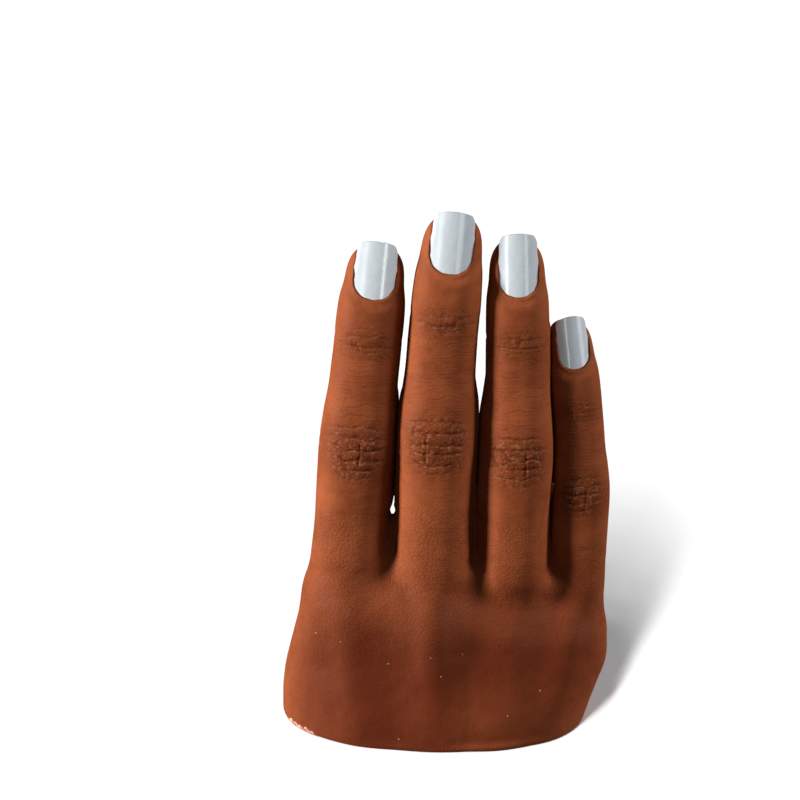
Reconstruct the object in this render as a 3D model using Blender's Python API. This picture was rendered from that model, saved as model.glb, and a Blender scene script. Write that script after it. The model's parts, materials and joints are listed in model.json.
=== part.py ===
"""Right-hand nail practice hand: four fingers and half a palm, cut flat so that it stands by itself.

Silicone flesh is cast round a plastic armature. A palm core carries four fingers, each of three
links on steel pins, so that the fingers curl. A removable nail tip slides into a pocket under each
cuticle. The flesh is one casting. Here it is parted where a body ends: firm flesh sits round each
link, and a sleeve of flesh bends at each joint.

Metres, +Z up. The back of the hand faces -Y, the thumb side is -X, and z = 0 is the flat cut that the
hand stands on.
"""

import math
from collections import namedtuple

import bmesh
import bpy
from mathutils import Matrix, Vector

MM = 0.001
DEGREE = math.pi / 180

# Clearances
PART_GAP = 0.3 * MM
PIN_CLEARANCE = 0.15 * MM
NAIL_CLEARANCE = 0.25 * MM
CUT_OVERRUN = 4.0 * MM

# Fingers. width is measured across the middle joint, and the three lengths run from joint to joint. lean
# tips a finger towards the little finger and pitch tips it towards the palm. roll turns its nail
# outwards. gap is the space to its neighbour at the middle joints, on the side of the middle finger.
# setback is how far its knuckle lies towards the palm, and bow is how far its middle stands aside.
Finger = namedtuple(
    "Finger",
    "width proximal middle distal knuckle_height gap setback bow nail_length lean roll pitch",
)
FINGERS = {
    "index": Finger(
        width=18.8 * MM,
        proximal=42.7 * MM,
        middle=26.6 * MM,
        distal=20.3 * MM,
        knuckle_height=33.6 * MM,
        gap=0.5 * MM,
        setback=-1.2 * MM,
        bow=-0.4 * MM,
        nail_length=12.9 * MM,
        lean=6.1 * DEGREE,
        roll=1.0 * DEGREE,
        pitch=2.0 * DEGREE,
    ),
    "middle": Finger(
        width=19.2 * MM,
        proximal=42.1 * MM,
        middle=30.0 * MM,
        distal=23.2 * MM,
        knuckle_height=35.8 * MM,
        gap=0.0 * MM,
        setback=-2.0 * MM,
        bow=-0.9 * MM,
        nail_length=13.7 * MM,
        lean=3.2 * DEGREE,
        roll=0.0 * DEGREE,
        pitch=2.0 * DEGREE,
    ),
    "ring": Finger(
        width=17.7 * MM,
        proximal=41.6 * MM,
        middle=28.7 * MM,
        distal=23.0 * MM,
        knuckle_height=31.6 * MM,
        gap=0.5 * MM,
        setback=-0.8 * MM,
        bow=1.0 * MM,
        nail_length=14.3 * MM,
        lean=0.4 * DEGREE,
        roll=3.0 * DEGREE,
        pitch=2.0 * DEGREE,
    ),
    "little": Finger(
        width=14.3 * MM,
        proximal=34.8 * MM,
        middle=22.0 * MM,
        distal=20.4 * MM,
        knuckle_height=27.5 * MM,
        gap=0.1 * MM,
        setback=2.6 * MM,
        bow=2.2 * MM,
        nail_length=11.9 * MM,
        lean=-2.5 * DEGREE,
        roll=8.0 * DEGREE,
        pitch=1.5 * DEGREE,
    ),
}
MIDDLE_FINGER_X = 0.6 * MM

# Finger outline, from knuckle to tip. Each row is a phalanx, a share along it, then the full width and
# the depths to the back and to the pad, as shares of the finger's width.
KNUCKLE, MIDDLE_JOINT, TIP_JOINT = "knuckle", "middle", "tip"
OUTLINE_SHARES = (
    (KNUCKLE, -0.30, 0.90, 0.41, 0.49),
    (KNUCKLE, 0.20, 1.03, 0.455, 0.53),
    (KNUCKLE, 0.50, 0.985, 0.435, 0.49),
    (KNUCKLE, 0.80, 0.985, 0.445, 0.445),
    (MIDDLE_JOINT, 0.00, 1.00, 0.465, 0.435),
    (MIDDLE_JOINT, 0.25, 0.955, 0.43, 0.435),
    (MIDDLE_JOINT, 0.50, 0.885, 0.39, 0.43),
    (MIDDLE_JOINT, 0.80, 0.865, 0.375, 0.39),
    (TIP_JOINT, 0.00, 0.855, 0.38, 0.37),
    (TIP_JOINT, 0.22, 0.85, 0.365, 0.38),
    (TIP_JOINT, 0.42, 0.825, 0.35, 0.40),
    (TIP_JOINT, 0.58, 0.765, 0.32, 0.395),
    (TIP_JOINT, 0.76, 0.69, 0.275, 0.36),
    (TIP_JOINT, 0.89, 0.56, 0.215, 0.29),
    (TIP_JOINT, 0.96, 0.39, 0.14, 0.20),
    (TIP_JOINT, 1.00, 0.14, 0.05, 0.07),
)
FINGER_SQUARENESS = 2.25
DROOP_SHARE = 0.06
RING_POINT_COUNT = 24
# How many bands of faces each piece of flesh has
ROOT_BAND_COUNT = 5
PROXIMAL_BAND_COUNT = 4
MIDDLE_SLEEVE_BAND_COUNT = 4
MIDDLE_BAND_COUNT = 3
TIP_SLEEVE_BAND_COUNT = 3

# Firm flesh stops short of each joint by these shares of the finger's width.
MIDDLE_SLEEVE_SHARE = 0.37
TIP_SLEEVE_SHARE = 0.27

# Armature, as shares of a finger's width at its middle joint
SHANK_SHARE = 0.135
EYE_SHARE = 0.15
FORK_SHARE = 0.19
TONGUE_SHARE = 0.065
PIN_SHARE = 0.048
TIP_JOINT_SCALE_SHARE = 0.85
KNUCKLE_SCALE_SHARE = 1.08
BONE_END_SHARE = 0.42
ROUND_POINT_COUNT = 12

# Palm. Its depths run from its middle line to the back of the hand, dorsal, and to the palm side, palmar.
# The base lies further towards the palm side than the knuckles, and is turned a little about the upright.
# The thumb side flares out to the stump of the thumb, and the heel under the little finger tapers in.
PALM_DORSAL_AT_BASE = 23.0 * MM
PALM_PALMAR_AT_BASE = 15.0 * MM
PALM_CENTRE_AT_BASE = 4.0 * MM
PALM_DORSAL_AT_KNUCKLES = 13.2 * MM
PALM_PALMAR_AT_KNUCKLES = 14.0 * MM
SIDE_FLESH = 0.9 * MM
THUMB_FLARE = 6.7 * MM
HEEL_TAPER = 5.0 * MM
PALM_TURN = 2.5 * DEGREE
INDEX_WEB_HEIGHT = 42.2 * MM
LITTLE_WEB_HEIGHT = 35.0 * MM
WEB_RISE = 2.0 * MM
# How far a finger's root, which bends with the knuckles, stands over the web beside it
ROOT_RISE = 1.6 * MM
KNUCKLE_RIDGE = 0.9 * MM
PALM_POINT_COUNT = 40
# Each row is a share of the web's height, then shares of the thumb flare and heel taper that are left,
# then how far the depths have gone from their sizes at the base to those at the knuckles, then a scale
# for the rounded top.
PALM_SHARES = (
    (0.00, 1.00, 1.00, 0.00, 1.00),
    (0.17, 0.95, 0.66, 0.12, 1.00),
    (0.33, 0.76, 0.34, 0.35, 1.00),
    (0.48, 0.48, 0.12, 0.60, 1.00),
    (0.63, 0.29, 0.00, 0.82, 1.00),
    (0.78, 0.12, 0.02, 1.00, 0.97),
    (0.90, 0.02, 0.06, 1.10, 0.86),
    (0.97, 0.00, 0.08, 1.15, 0.68),
    (1.00, 0.00, 0.10, 1.15, 0.40),
)
SQUARENESS_AT_BASE = 2.3
SQUARENESS_AT_KNUCKLES = 2.9

# Where the bending flesh of the knuckles meets the firm palm, below the knuckle joints
PARTING_DROP = 5.5 * MM

# Palm core
CORE_THICKNESS = 7.0 * MM
CORE_BOTTOM = 9.0 * MM
CORE_TOP_DROP = 4.6 * MM

# Nail tips
NAIL_THICKNESS = 0.7 * MM
NAIL_TONGUE = 3.0 * MM
NAIL_DEPTH_UNDER_FOLD = 0.9 * MM
NAIL_WIDTH_SHARE = 0.505
NAIL_RADIUS_SHARE = 0.43
NAIL_PITCH = 4.0 * DEGREE
CUTICLE_SHARE = 0.485
NAIL_COLUMN_COUNT = 8
# Rows from the root of the tongue to the free edge: share of the way, and share of the full half width
NAIL_TONGUE_SHARES = ((0.0, 0.62), (0.35, 0.86), (1.0, 0.97))
NAIL_PLATE_SHARES = ((0.25, 1.0), (0.6, 1.0), (0.87, 0.99), (0.935, 0.94), (0.975, 0.83), (1.0, 0.6))
# The opening in the flesh over the nail starts with the cuticle's curve, as shares of its width along and
# across. Beyond them it widens where the folds beside the nail end, as shares of the rest of the nail and
# of its width.
CUTICLE_SHARES = ((0.0, 0.25), (0.06, 0.55), (0.16, 0.78), (0.3, 0.93), (0.5, 1.0))
FOLD_END_SHARES = ((0.09, 1.0), (0.3, 1.25), (1.8, 1.25))

Look = namedtuple("Look", "colour roughness metallic")
LOOKS = {
    "silicone": Look((0.305, 0.098, 0.045), 0.5, 0.0),
    "nail": Look((0.56, 0.63, 0.68), 0.12, 0.0),
    "armature": Look((0.72, 0.70, 0.64), 0.55, 0.0),
    "steel": Look((0.58, 0.58, 0.60), 0.3, 1.0),
}


def material(name):
    """The named look as a Blender material, made once."""
    found = bpy.data.materials.get(name)
    if found:
        return found
    made = bpy.data.materials.new(name)
    made.use_nodes = True
    shader = made.node_tree.nodes["Principled BSDF"]
    look = LOOKS[name]
    shader.inputs["Base Color"].default_value = (*look.colour, 1.0)
    shader.inputs["Roughness"].default_value = look.roughness
    shader.inputs["Metallic"].default_value = look.metallic
    return made


def new_object(name, bm, look, parent=None):
    """An object from a bmesh, shaded smooth with its edges kept crisp."""
    bmesh.ops.recalc_face_normals(bm, faces=bm.faces)
    mesh = bpy.data.meshes.new(name)
    bm.to_mesh(mesh)
    bm.free()
    mesh.shade_smooth()
    mesh.set_sharp_from_angle(angle=40 * DEGREE)
    obj = bpy.data.objects.new(name, mesh)
    bpy.context.scene.collection.objects.link(obj)
    if look:
        mesh.materials.append(material(look))
    obj.parent = parent
    return obj


def new_cutter(name, bm, parent=None):
    """A helper that cuts or joins and is never part of the hand."""
    cutter = new_object(name, bm, None, parent)
    cutter.hide_render = True
    cutter.display_type = "WIRE"
    return cutter


def new_empty(name, matrix, parent=None):
    empty = bpy.data.objects.new(name, None)
    bpy.context.scene.collection.objects.link(empty)
    empty.parent = parent
    empty.matrix_local = matrix
    empty.empty_display_size = CORE_THICKNESS
    return empty


def boolean(obj, other, operation="DIFFERENCE"):
    """Cuts other from obj, or joins it to obj, and applies the result to obj's mesh."""
    modifier = obj.modifiers.new(operation.lower(), "BOOLEAN")
    modifier.operation = operation
    modifier.object = other
    bpy.context.view_layer.update()
    graph = bpy.context.evaluated_depsgraph_get()
    mesh = bpy.data.meshes.new_from_object(obj.evaluated_get(graph))
    obj.modifiers.clear()
    obj.data = mesh


def copy_of(obj, name):
    twin = obj.copy()
    twin.data = obj.data.copy()
    twin.name = name
    bpy.context.scene.collection.objects.link(twin)
    return twin


def interpolate(shares, value):
    """The row of a table at a value of its first column, by a smooth curve through the rows."""
    last = len(shares) - 1
    at = next((i for i in range(last) if value <= shares[i + 1][0]), last - 1)
    rows = [shares[min(max(at + k, 0), last)] for k in (-1, 0, 1, 2)]
    span = rows[2][0] - rows[1][0]
    t = min(max((value - rows[1][0]) / span, 0.0), 1.0)
    row = []
    for column in range(1, len(shares[0])):
        before, low, high, after = (r[column] for r in rows)
        low_slope = (high - before) * span / (rows[2][0] - rows[0][0])
        high_slope = (after - low) * span / (rows[3][0] - rows[1][0])
        row.append(
            low * (2 * t**3 - 3 * t**2 + 1)
            + low_slope * (t**3 - 2 * t**2 + t)
            + high * (3 * t**2 - 2 * t**3)
            + high_slope * (t**3 - t**2)
        )
    return row


def superellipse(count, squareness):
    """Points of a unit squared circle, as (cosine, sine), starting at +X."""
    points = []
    for k in range(count):
        c = math.cos(2 * math.pi * k / count)
        s = math.sin(2 * math.pi * k / count)
        points.append(
            (
                math.copysign(abs(c) ** (2 / squareness), c),
                math.copysign(abs(s) ** (2 / squareness), s),
            )
        )
    return points


def joint_height(finger, joint):
    heights = {KNUCKLE: 0, MIDDLE_JOINT: finger.proximal, TIP_JOINT: finger.proximal + finger.middle}
    return heights[joint]


def link_length(finger, joint):
    """The length of the link that starts at a joint."""
    return {KNUCKLE: finger.proximal, MIDDLE_JOINT: finger.middle, TIP_JOINT: finger.distal}[joint]


def finger_length(finger):
    return finger.proximal + finger.middle + finger.distal


def outline_of(finger):
    """The outline in real sizes: height over the knuckle, half width, depth to the back and to the pad."""
    return [
        (
            joint_height(finger, joint) + share * link_length(finger, joint),
            wide / 2 * finger.width,
            back * finger.width,
            pad * finger.width,
        )
        for joint, share, wide, back, pad in OUTLINE_SHARES
    ]


def centre_at(finger, height):
    """How far the finger's middle stands off its straight axis at a height: aside, then to the palm."""
    share = min(max(height / finger_length(finger), 0.0), 1.0)
    return finger.bow * math.sin(math.pi * share), DROOP_SHARE * finger.width * share**2


def finger_ring(finger, height, base_height):
    """One closed ring of the finger's skin, in the frame of a joint at base_height."""
    half_width, back, pad = interpolate(outline_of(finger), height)
    aside, inward = centre_at(finger, height)
    turn = Matrix.Rotation(finger.roll, 3, "Z")
    place = Vector((aside, inward, height - base_height))
    return [
        place + turn @ Vector((half_width * c, (pad if s > 0 else back) * s, 0))
        for c, s in superellipse(RING_POINT_COUNT, FINGER_SQUARENESS)
    ]


def circle_ring(radius, height, count, centre=(0, 0)):
    return [
        Vector(
            (
                centre[0] + radius * math.cos(2 * math.pi * k / count),
                centre[1] + radius * math.sin(2 * math.pi * k / count),
                height,
            )
        )
        for k in range(count)
    ]


def add_rings(bm, rings, closed_low=True, closed_high=True):
    """Skins a row of equal rings and returns their vertices, ring by ring."""
    made = [[bm.verts.new(point) for point in ring] for ring in rings]
    for low, high in zip(made, made[1:]):
        for k in range(len(low)):
            after = (k + 1) % len(low)
            bm.faces.new((low[k], low[after], high[after], high[k]))
    if closed_low:
        bm.faces.new(made[0])
    if closed_high:
        bm.faces.new(made[-1])
    return made


def lofted(rings):
    bm = bmesh.new()
    add_rings(bm, rings)
    return bm


def lofted_with_bore(rings, bore_rings, blind=False):
    """A loft with a lengthwise bore. A blind bore opens at its low end only."""
    bm = bmesh.new()
    outer = add_rings(bm, rings, closed_low=False, closed_high=blind)
    inner = add_rings(bm, bore_rings, closed_low=False, closed_high=blind)
    ends = [(outer[0], inner[0])]
    if not blind:
        ends.append((outer[-1], inner[-1]))
    for rim, hole in ends:
        for k in range(len(rim)):
            after = (k + 1) % len(rim)
            bm.faces.new((rim[k], rim[after], hole[after], hole[k]))
    return bm


def steps(low, high, count):
    return [low + (high - low) * k / count for k in range(count + 1)]


def joint_scale(joint):
    """How large the armature is at a joint, beside the middle joint."""
    return {KNUCKLE: KNUCKLE_SCALE_SHARE, MIDDLE_JOINT: 1, TIP_JOINT: TIP_JOINT_SCALE_SHARE}[joint]


Hinge = namedtuple("Hinge", "shank eye fork tongue pin")


def hinge_of(finger, joint):
    """Half sizes of one joint of the armature."""
    size = finger.width * joint_scale(joint)
    return Hinge(
        SHANK_SHARE * size, EYE_SHARE * size, FORK_SHARE * size, TONGUE_SHARE * size, PIN_SHARE * size
    )


def sleeve_half(finger, joint):
    """Half the height of the bending sleeve round a joint of the finger."""
    return finger.width * (TIP_SLEEVE_SHARE if joint == TIP_JOINT else MIDDLE_SLEEVE_SHARE)


def hinge_reach(hinge):
    """The radius round a finger's axis that clears a whole fork."""
    return math.hypot(hinge.fork, hinge.eye) + PART_GAP


def link_plate(radius, half_thickness, low, high):
    """A flat link across X with round ends, whose end centres lie at two heights."""
    quarter = ROUND_POINT_COUNT // 2
    outline = []
    for k in range(quarter + 1):
        angle = math.pi * k / quarter
        outline.append((radius * math.cos(angle), high + radius * math.sin(angle)))
    for k in range(quarter + 1):
        angle = math.pi + math.pi * k / quarter
        outline.append((radius * math.cos(angle), low + radius * math.sin(angle)))
    return lofted([[Vector((x, y, z)) for y, z in outline] for x in (-half_thickness, half_thickness)])


def cross_pin(radius, half_length):
    ring = circle_ring(radius, 0, ROUND_POINT_COUNT)
    return lofted([[Vector((x, p.x, p.y)) for p in ring] for x in (-half_length, half_length)])


def box(low, high):
    bm = bmesh.new()
    bmesh.ops.create_cube(bm, size=1)
    size = Vector(high) - Vector(low)
    centre = (Vector(high) + Vector(low)) / 2
    bmesh.ops.scale(bm, vec=size, verts=bm.verts)
    bmesh.ops.translate(bm, vec=centre, verts=bm.verts)
    return bm


def slotted_fork(name, finger, joint, reach_down, parent):
    """A fork round a joint at its parent's origin, with its slot and pin hole cut, standing on a stem."""
    hinge = hinge_of(finger, joint)
    fork = new_object(name, link_plate(hinge.eye, hinge.fork, -reach_down, 0), "armature", parent)
    slot_half = hinge.tongue + PART_GAP
    slot_floor = -(hinge.eye + PART_GAP)
    slot_size = hinge.eye + CUT_OVERRUN
    slot = box((-slot_half, -slot_size, slot_floor), (slot_half, slot_size, slot_size))
    boolean(fork, new_cutter(name + "_slot", slot, parent))
    hole = cross_pin(hinge.pin + PIN_CLEARANCE, hinge.fork + CUT_OVERRUN)
    boolean(fork, new_cutter(name + "_hole", hole, parent))
    return fork


def build_bone(name, finger, joint, parent):
    """One link: a tongue on its own joint at the origin, a round shank, and a fork for the next joint."""
    hinge = hinge_of(finger, joint)
    length = link_length(finger, joint)
    shoulder = hinge.eye + PART_GAP
    last = joint == TIP_JOINT
    next_joint = MIDDLE_JOINT if joint == KNUCKLE else TIP_JOINT
    next_hinge = hinge_of(finger, next_joint)
    fork_stem = 0 if last else sleeve_half(finger, next_joint) - next_hinge.eye
    top = BONE_END_SHARE * length if last else length - fork_stem
    shank = [
        circle_ring(hinge.shank, shoulder, ROUND_POINT_COUNT),
        circle_ring(next_hinge.shank, top, ROUND_POINT_COUNT),
    ]
    if last:
        shank.append(circle_ring(next_hinge.shank / 2, top + next_hinge.shank / 2, ROUND_POINT_COUNT))
    bone = new_object(name, lofted(shank), "armature", parent)
    tongue = new_cutter(name + "_tongue", link_plate(hinge.eye, hinge.tongue, 0, shoulder), parent)
    boolean(bone, tongue, "UNION")
    hole = cross_pin(hinge.pin + PIN_CLEARANCE, hinge.fork + CUT_OVERRUN)
    boolean(bone, new_cutter(name + "_hole", hole, parent))
    if not last:
        end = new_empty(name + "_end", Matrix.Translation((0, 0, length)), parent)
        fork = slotted_fork(name + "_fork", finger, next_joint, fork_stem, end)
        fork.hide_render = True
        fork.display_type = "WIRE"
        boolean(bone, fork, "UNION")
    return bone


def build_pin(name, finger, joint, parent):
    hinge = hinge_of(finger, joint)
    return new_object(name, cross_pin(hinge.pin, hinge.fork), "steel", parent)


def build_flesh(name, finger, base, low, high, bands, bore, parent):
    """Firm or bending flesh between two heights, round a bore, in the frame of the joint at height base."""
    outer = [finger_ring(finger, h, base) for h in steps(low, high, bands)]
    inner = [circle_ring(bore, h - base, RING_POINT_COUNT) for h in (low, high)]
    return new_object(name, lofted_with_bore(outer, inner), "silicone", parent)


def nail_matrix(finger):
    """The nail's frame in that of the tip joint: its origin on the plate's outer face at the cuticle."""
    height = CUTICLE_SHARE * finger.distal
    along = joint_height(finger, TIP_JOINT) + height
    aside, inward = centre_at(finger, along)
    aside_after, _ = centre_at(finger, along + PART_GAP)
    back = interpolate(outline_of(finger), along)[1]
    slope = Matrix.Rotation(math.atan2(aside_after - aside, PART_GAP), 4, "Y")
    turn = slope @ Matrix.Rotation(finger.roll, 4, "Z")
    place = Matrix.Translation((aside, inward, height)) @ turn
    lift = Matrix.Translation((0, NAIL_DEPTH_UNDER_FOLD - back, 0))
    return place @ lift @ Matrix.Rotation(-NAIL_PITCH, 4, "X")


def nail_arc(radius, axis_depth, half_width, height, count):
    """Points across a curved plate, from -X to +X, whose arc's axis lies axis_depth under its outer face."""
    reach = math.asin(half_width / radius)
    return [
        Vector((radius * math.sin(a), axis_depth - radius * math.cos(a), height))
        for a in steps(-reach, reach, count)
    ]


def build_nail(name, finger, parent):
    """A press-on tip: a curved plate with a tongue that goes under the cuticle and a squared free edge."""
    half_width = NAIL_WIDTH_SHARE * finger.width / 2
    radius = NAIL_RADIUS_SHARE * finger.width
    rows = [(-NAIL_TONGUE * (1 - share), wide) for share, wide in NAIL_TONGUE_SHARES]
    rows += [(finger.nail_length * share, wide) for share, wide in NAIL_PLATE_SHARES]
    rings = []
    for height, wide in rows:
        outer = nail_arc(radius, radius, wide * half_width, height, NAIL_COLUMN_COUNT)
        inner = nail_arc(
            radius - NAIL_THICKNESS,
            radius,
            wide * half_width * (1 - NAIL_THICKNESS / radius),
            height,
            NAIL_COLUMN_COUNT,
        )
        rings.append(outer + inner[::-1])
    return new_object(name, lofted(rings), "nail", parent)


def nail_space(name, finger, parent):
    """What the nail needs cleared: its pocket under the cuticle, and everything over its bed beyond it."""
    half_width = NAIL_WIDTH_SHARE * finger.width / 2 + NAIL_CLEARANCE
    axis_depth = NAIL_RADIUS_SHARE * finger.width
    bed = axis_depth - NAIL_THICKNESS - NAIL_CLEARANCE
    roof = axis_depth + NAIL_CLEARANCE
    pocket_ends = (-NAIL_TONGUE - NAIL_CLEARANCE, CUTICLE_SHARE * finger.distal)
    pocket = [
        nail_arc(roof, axis_depth, half_width, height, NAIL_COLUMN_COUNT)
        + nail_arc(bed, axis_depth, half_width, height, NAIL_COLUMN_COUNT)[::-1]
        for height in pocket_ends
    ]
    opening_length = 2 * half_width
    sky = -(NAIL_DEPTH_UNDER_FOLD + CUT_OVERRUN)
    rows = [(share * opening_length, wide) for share, wide in CUTICLE_SHARES]
    curve_end = rows[-1][0]
    rest = finger.nail_length - curve_end
    rows += [(curve_end + share * rest, wide) for share, wide in FOLD_END_SHARES]
    opening = []
    for height, wide in rows:
        floor = nail_arc(bed, axis_depth, wide * half_width, height, NAIL_COLUMN_COUNT)
        lid = [Vector((wide * half_width, sky, height)), Vector((-wide * half_width, sky, height))]
        opening.append(floor + lid)
    space = new_cutter(name, lofted(pocket), parent)
    boolean(space, new_cutter(name + "_opening", lofted(opening), parent), "UNION")
    return space


def build_fingertip(name, finger, parent, nail_frame):
    """The tip's flesh, with a blind bore for its bone and the nail's bed and pocket cut in."""
    base = joint_height(finger, TIP_JOINT)
    low = base + sleeve_half(finger, TIP_JOINT) + PART_GAP
    heights = [low] + [row[0] for row in outline_of(finger) if row[0] > low + PART_GAP]
    outer = [finger_ring(finger, h, base) for h in heights]
    hinge = hinge_of(finger, TIP_JOINT)
    bore = hinge.shank + PART_GAP
    bone_top = BONE_END_SHARE * finger.distal + hinge.shank / 2 + PART_GAP
    inner = [circle_ring(bore, h, RING_POINT_COUNT) for h in (low - base, bone_top)]
    flesh = new_object(name, lofted_with_bore(outer, inner, blind=True), "silicone", parent)
    boolean(flesh, nail_space(name + "_nail_space", finger, nail_frame))
    return flesh


def finger_frames():
    """Each finger's frame at its knuckle, so that the middle joints stand in a row with their gaps."""
    step = {n: (f.width / 2 + f.gap) for n, f in FINGERS.items()}
    half = {n: f.width / 2 for n, f in FINGERS.items()}
    at_middle_joint = {"middle": MIDDLE_FINGER_X}
    at_middle_joint["index"] = MIDDLE_FINGER_X - half["middle"] - step["index"]
    at_middle_joint["ring"] = MIDDLE_FINGER_X + half["middle"] + step["ring"]
    at_middle_joint["little"] = at_middle_joint["ring"] + half["ring"] + step["little"]
    frames = {}
    for name, finger in FINGERS.items():
        turn = Matrix.Rotation(finger.lean, 4, "Y") @ Matrix.Rotation(-finger.pitch, 4, "X")
        aside, inward = centre_at(finger, finger.proximal)
        middle_joint = turn @ Vector((aside, inward, finger.proximal))
        place = Vector((at_middle_joint[name] - middle_joint.x, finger.setback, finger.knuckle_height))
        frames[name] = Matrix.Translation(place) @ turn
    return frames


def along_knuckles(frames, x, value):
    """A value that each finger gives at its knuckle, read at any x along the row of knuckles."""
    places = sorted((frames[n].translation.x, value(FINGERS[n])) for n in FINGERS)
    if x <= places[0][0]:
        return places[0][1]
    for (x0, v0), (x1, v1) in zip(places, places[1:]):
        if x <= x1:
            share = (x - x0) / (x1 - x0)
            share = share * share * (3 - 2 * share)
            return v0 + (v1 - v0) * share
    return places[-1][1]


def web_height(frames, x):
    """The height of the flesh between the fingers, falling from the index finger to the little one."""
    first = (frames["index"].translation.x + frames["middle"].translation.x) / 2
    last = (frames["ring"].translation.x + frames["little"].translation.x) / 2
    share = (x - first) / (last - first)
    return INDEX_WEB_HEIGHT + (LITTLE_WEB_HEIGHT - INDEX_WEB_HEIGHT) * share


def root_top(name, frames):
    """How far a finger's root reaches over its knuckle: it clears the web on the finger's thumb side."""
    finger = FINGERS[name]
    side = frames[name].translation.x - finger.width / 2
    first_web = (frames["index"].translation.x + frames["middle"].translation.x) / 2
    return web_height(frames, max(side, first_web)) + WEB_RISE + ROOT_RISE - finger.knuckle_height


def knuckle_ridge(frames, x):
    """How far the back of the hand rises over the bones, from 0 between them to 1 over one."""
    nearest = min(FINGERS, key=lambda n: abs(x - frames[n].translation.x))
    offset = (x - frames[nearest].translation.x) / (FINGERS[nearest].width / 2)
    return max(0.0, 1 - offset * offset)


def palm_ring(frames, row):
    """One closed ring of the palm at a share of the web's height."""
    share, flare, taper, depth, scale = row
    index, little = FINGERS["index"], FINGERS["little"]
    left = frames["index"].translation.x - index.width / 2 - SIDE_FLESH - flare * THUMB_FLARE
    right = frames["little"].translation.x + little.width / 2 + SIDE_FLESH - taper * HEEL_TAPER
    middle, half = (left + right) / 2, (right - left) / 2
    back = PALM_DORSAL_AT_BASE + (PALM_DORSAL_AT_KNUCKLES - PALM_DORSAL_AT_BASE) * depth
    front = PALM_PALMAR_AT_BASE + (PALM_PALMAR_AT_KNUCKLES - PALM_PALMAR_AT_BASE) * depth
    centre = PALM_CENTRE_AT_BASE * (1 - depth)
    squareness = SQUARENESS_AT_BASE + (SQUARENESS_AT_KNUCKLES - SQUARENESS_AT_BASE) * min(depth, 1)
    side_scale = (1 + scale) / 2
    turn = math.sin(PALM_TURN) * (1 - min(depth, 1))
    ring = []
    for c, s in superellipse(PALM_POINT_COUNT, squareness):
        x = middle + side_scale * half * c
        arch = share * along_knuckles(frames, x, lambda finger: finger.setback)
        ridge = share * KNUCKLE_RIDGE * knuckle_ridge(frames, x) if s < 0 else 0
        y = centre + arch + scale * (front if s > 0 else back) * s + ridge * s - turn * half * c
        rise = WEB_RISE * s * share**4
        ring.append(Vector((x, y, share * web_height(frames, x) + rise)))
    return ring


def build_whole_palm(frames, roots):
    """The palm with the four finger roots, as one body, parted into palm and knuckle flesh afterwards."""
    whole = new_cutter("whole_palm", lofted([palm_ring(frames, row) for row in PALM_SHARES]))
    for name, finger in FINGERS.items():
        top = root_top(name, frames)
        low = OUTLINE_SHARES[0][1] * finger.proximal
        rings = [finger_ring(finger, h, 0) for h in steps(low, top, ROOT_BAND_COUNT)]
        boolean(whole, new_cutter(name + "_root", lofted(rings), roots[name]), "UNION")
    return whole


def parting_plane(frames):
    """A point and a normal of the plane under the knuckle joints."""
    first, last = frames["index"].translation, frames["little"].translation
    drop = Vector((0, 0, PARTING_DROP))
    along = (last - first).normalized()
    across = Vector((0, 1, 0))
    return first - drop, along.cross(across).normalized()


def keep_side(obj, point, normal):
    """Cuts a closed mesh by a plane, keeps what the normal points away from, and closes the cut."""
    bm = bmesh.new()
    bm.from_mesh(obj.data)
    cut = bmesh.ops.bisect_plane(
        bm, geom=bm.verts[:] + bm.edges[:] + bm.faces[:], plane_co=point, plane_no=normal, clear_outer=True
    )
    edges = [e for e in cut["geom_cut"] if isinstance(e, bmesh.types.BMEdge)]
    bmesh.ops.holes_fill(bm, edges=edges, sides=0)
    bmesh.ops.recalc_face_normals(bm, faces=bm.faces)
    bm.to_mesh(obj.data)
    bm.free()


def core_plate(frames, grow, top_grow):
    """The core's plate as sections across each knuckle's bone, grown all round by a clearance."""
    names = list(FINGERS)
    half = CORE_THICKNESS / 2 + grow
    bottom = CORE_BOTTOM - grow
    stations = []
    for name in names:
        place = frames[name].translation
        stations.append((place.x, place.y, place.z - CORE_TOP_DROP + top_grow))
    first, last = stations[0], stations[-1]
    first_end = hinge_of(FINGERS[names[0]], KNUCKLE).fork + grow
    last_end = hinge_of(FINGERS[names[-1]], KNUCKLE).fork + grow
    stations.insert(0, (first[0] - first_end, first[1], first[2]))
    stations.append((last[0] + last_end, last[1], last[2]))
    return lofted(
        [
            [
                Vector((x, y - half, bottom)),
                Vector((x, y + half, bottom)),
                Vector((x, y + half, top)),
                Vector((x, y - half, top)),
            ]
            for x, y, top in stations
        ]
    )


def armature_space(frames, roots):
    """What the core, the knuckle forks and the first bones need cleared inside the palm."""
    space = new_cutter("armature_space", core_plate(frames, PART_GAP, PART_GAP))
    for name, finger in FINGERS.items():
        hinge = hinge_of(finger, KNUCKLE)
        reach = hinge_reach(hinge)
        narrow = hinge.shank + PART_GAP
        throat = 2 * hinge.eye
        channel = [
            circle_ring(reach, -CORE_TOP_DROP - CORE_THICKNESS / 2, RING_POINT_COUNT),
            circle_ring(reach, throat, RING_POINT_COUNT),
            circle_ring(narrow, throat + hinge.tongue, RING_POINT_COUNT),
            circle_ring(narrow, root_top(name, frames) + CUT_OVERRUN, RING_POINT_COUNT),
        ]
        boolean(space, new_cutter(name + "_channel", lofted(channel), roots[name]), "UNION")
    return space


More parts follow.
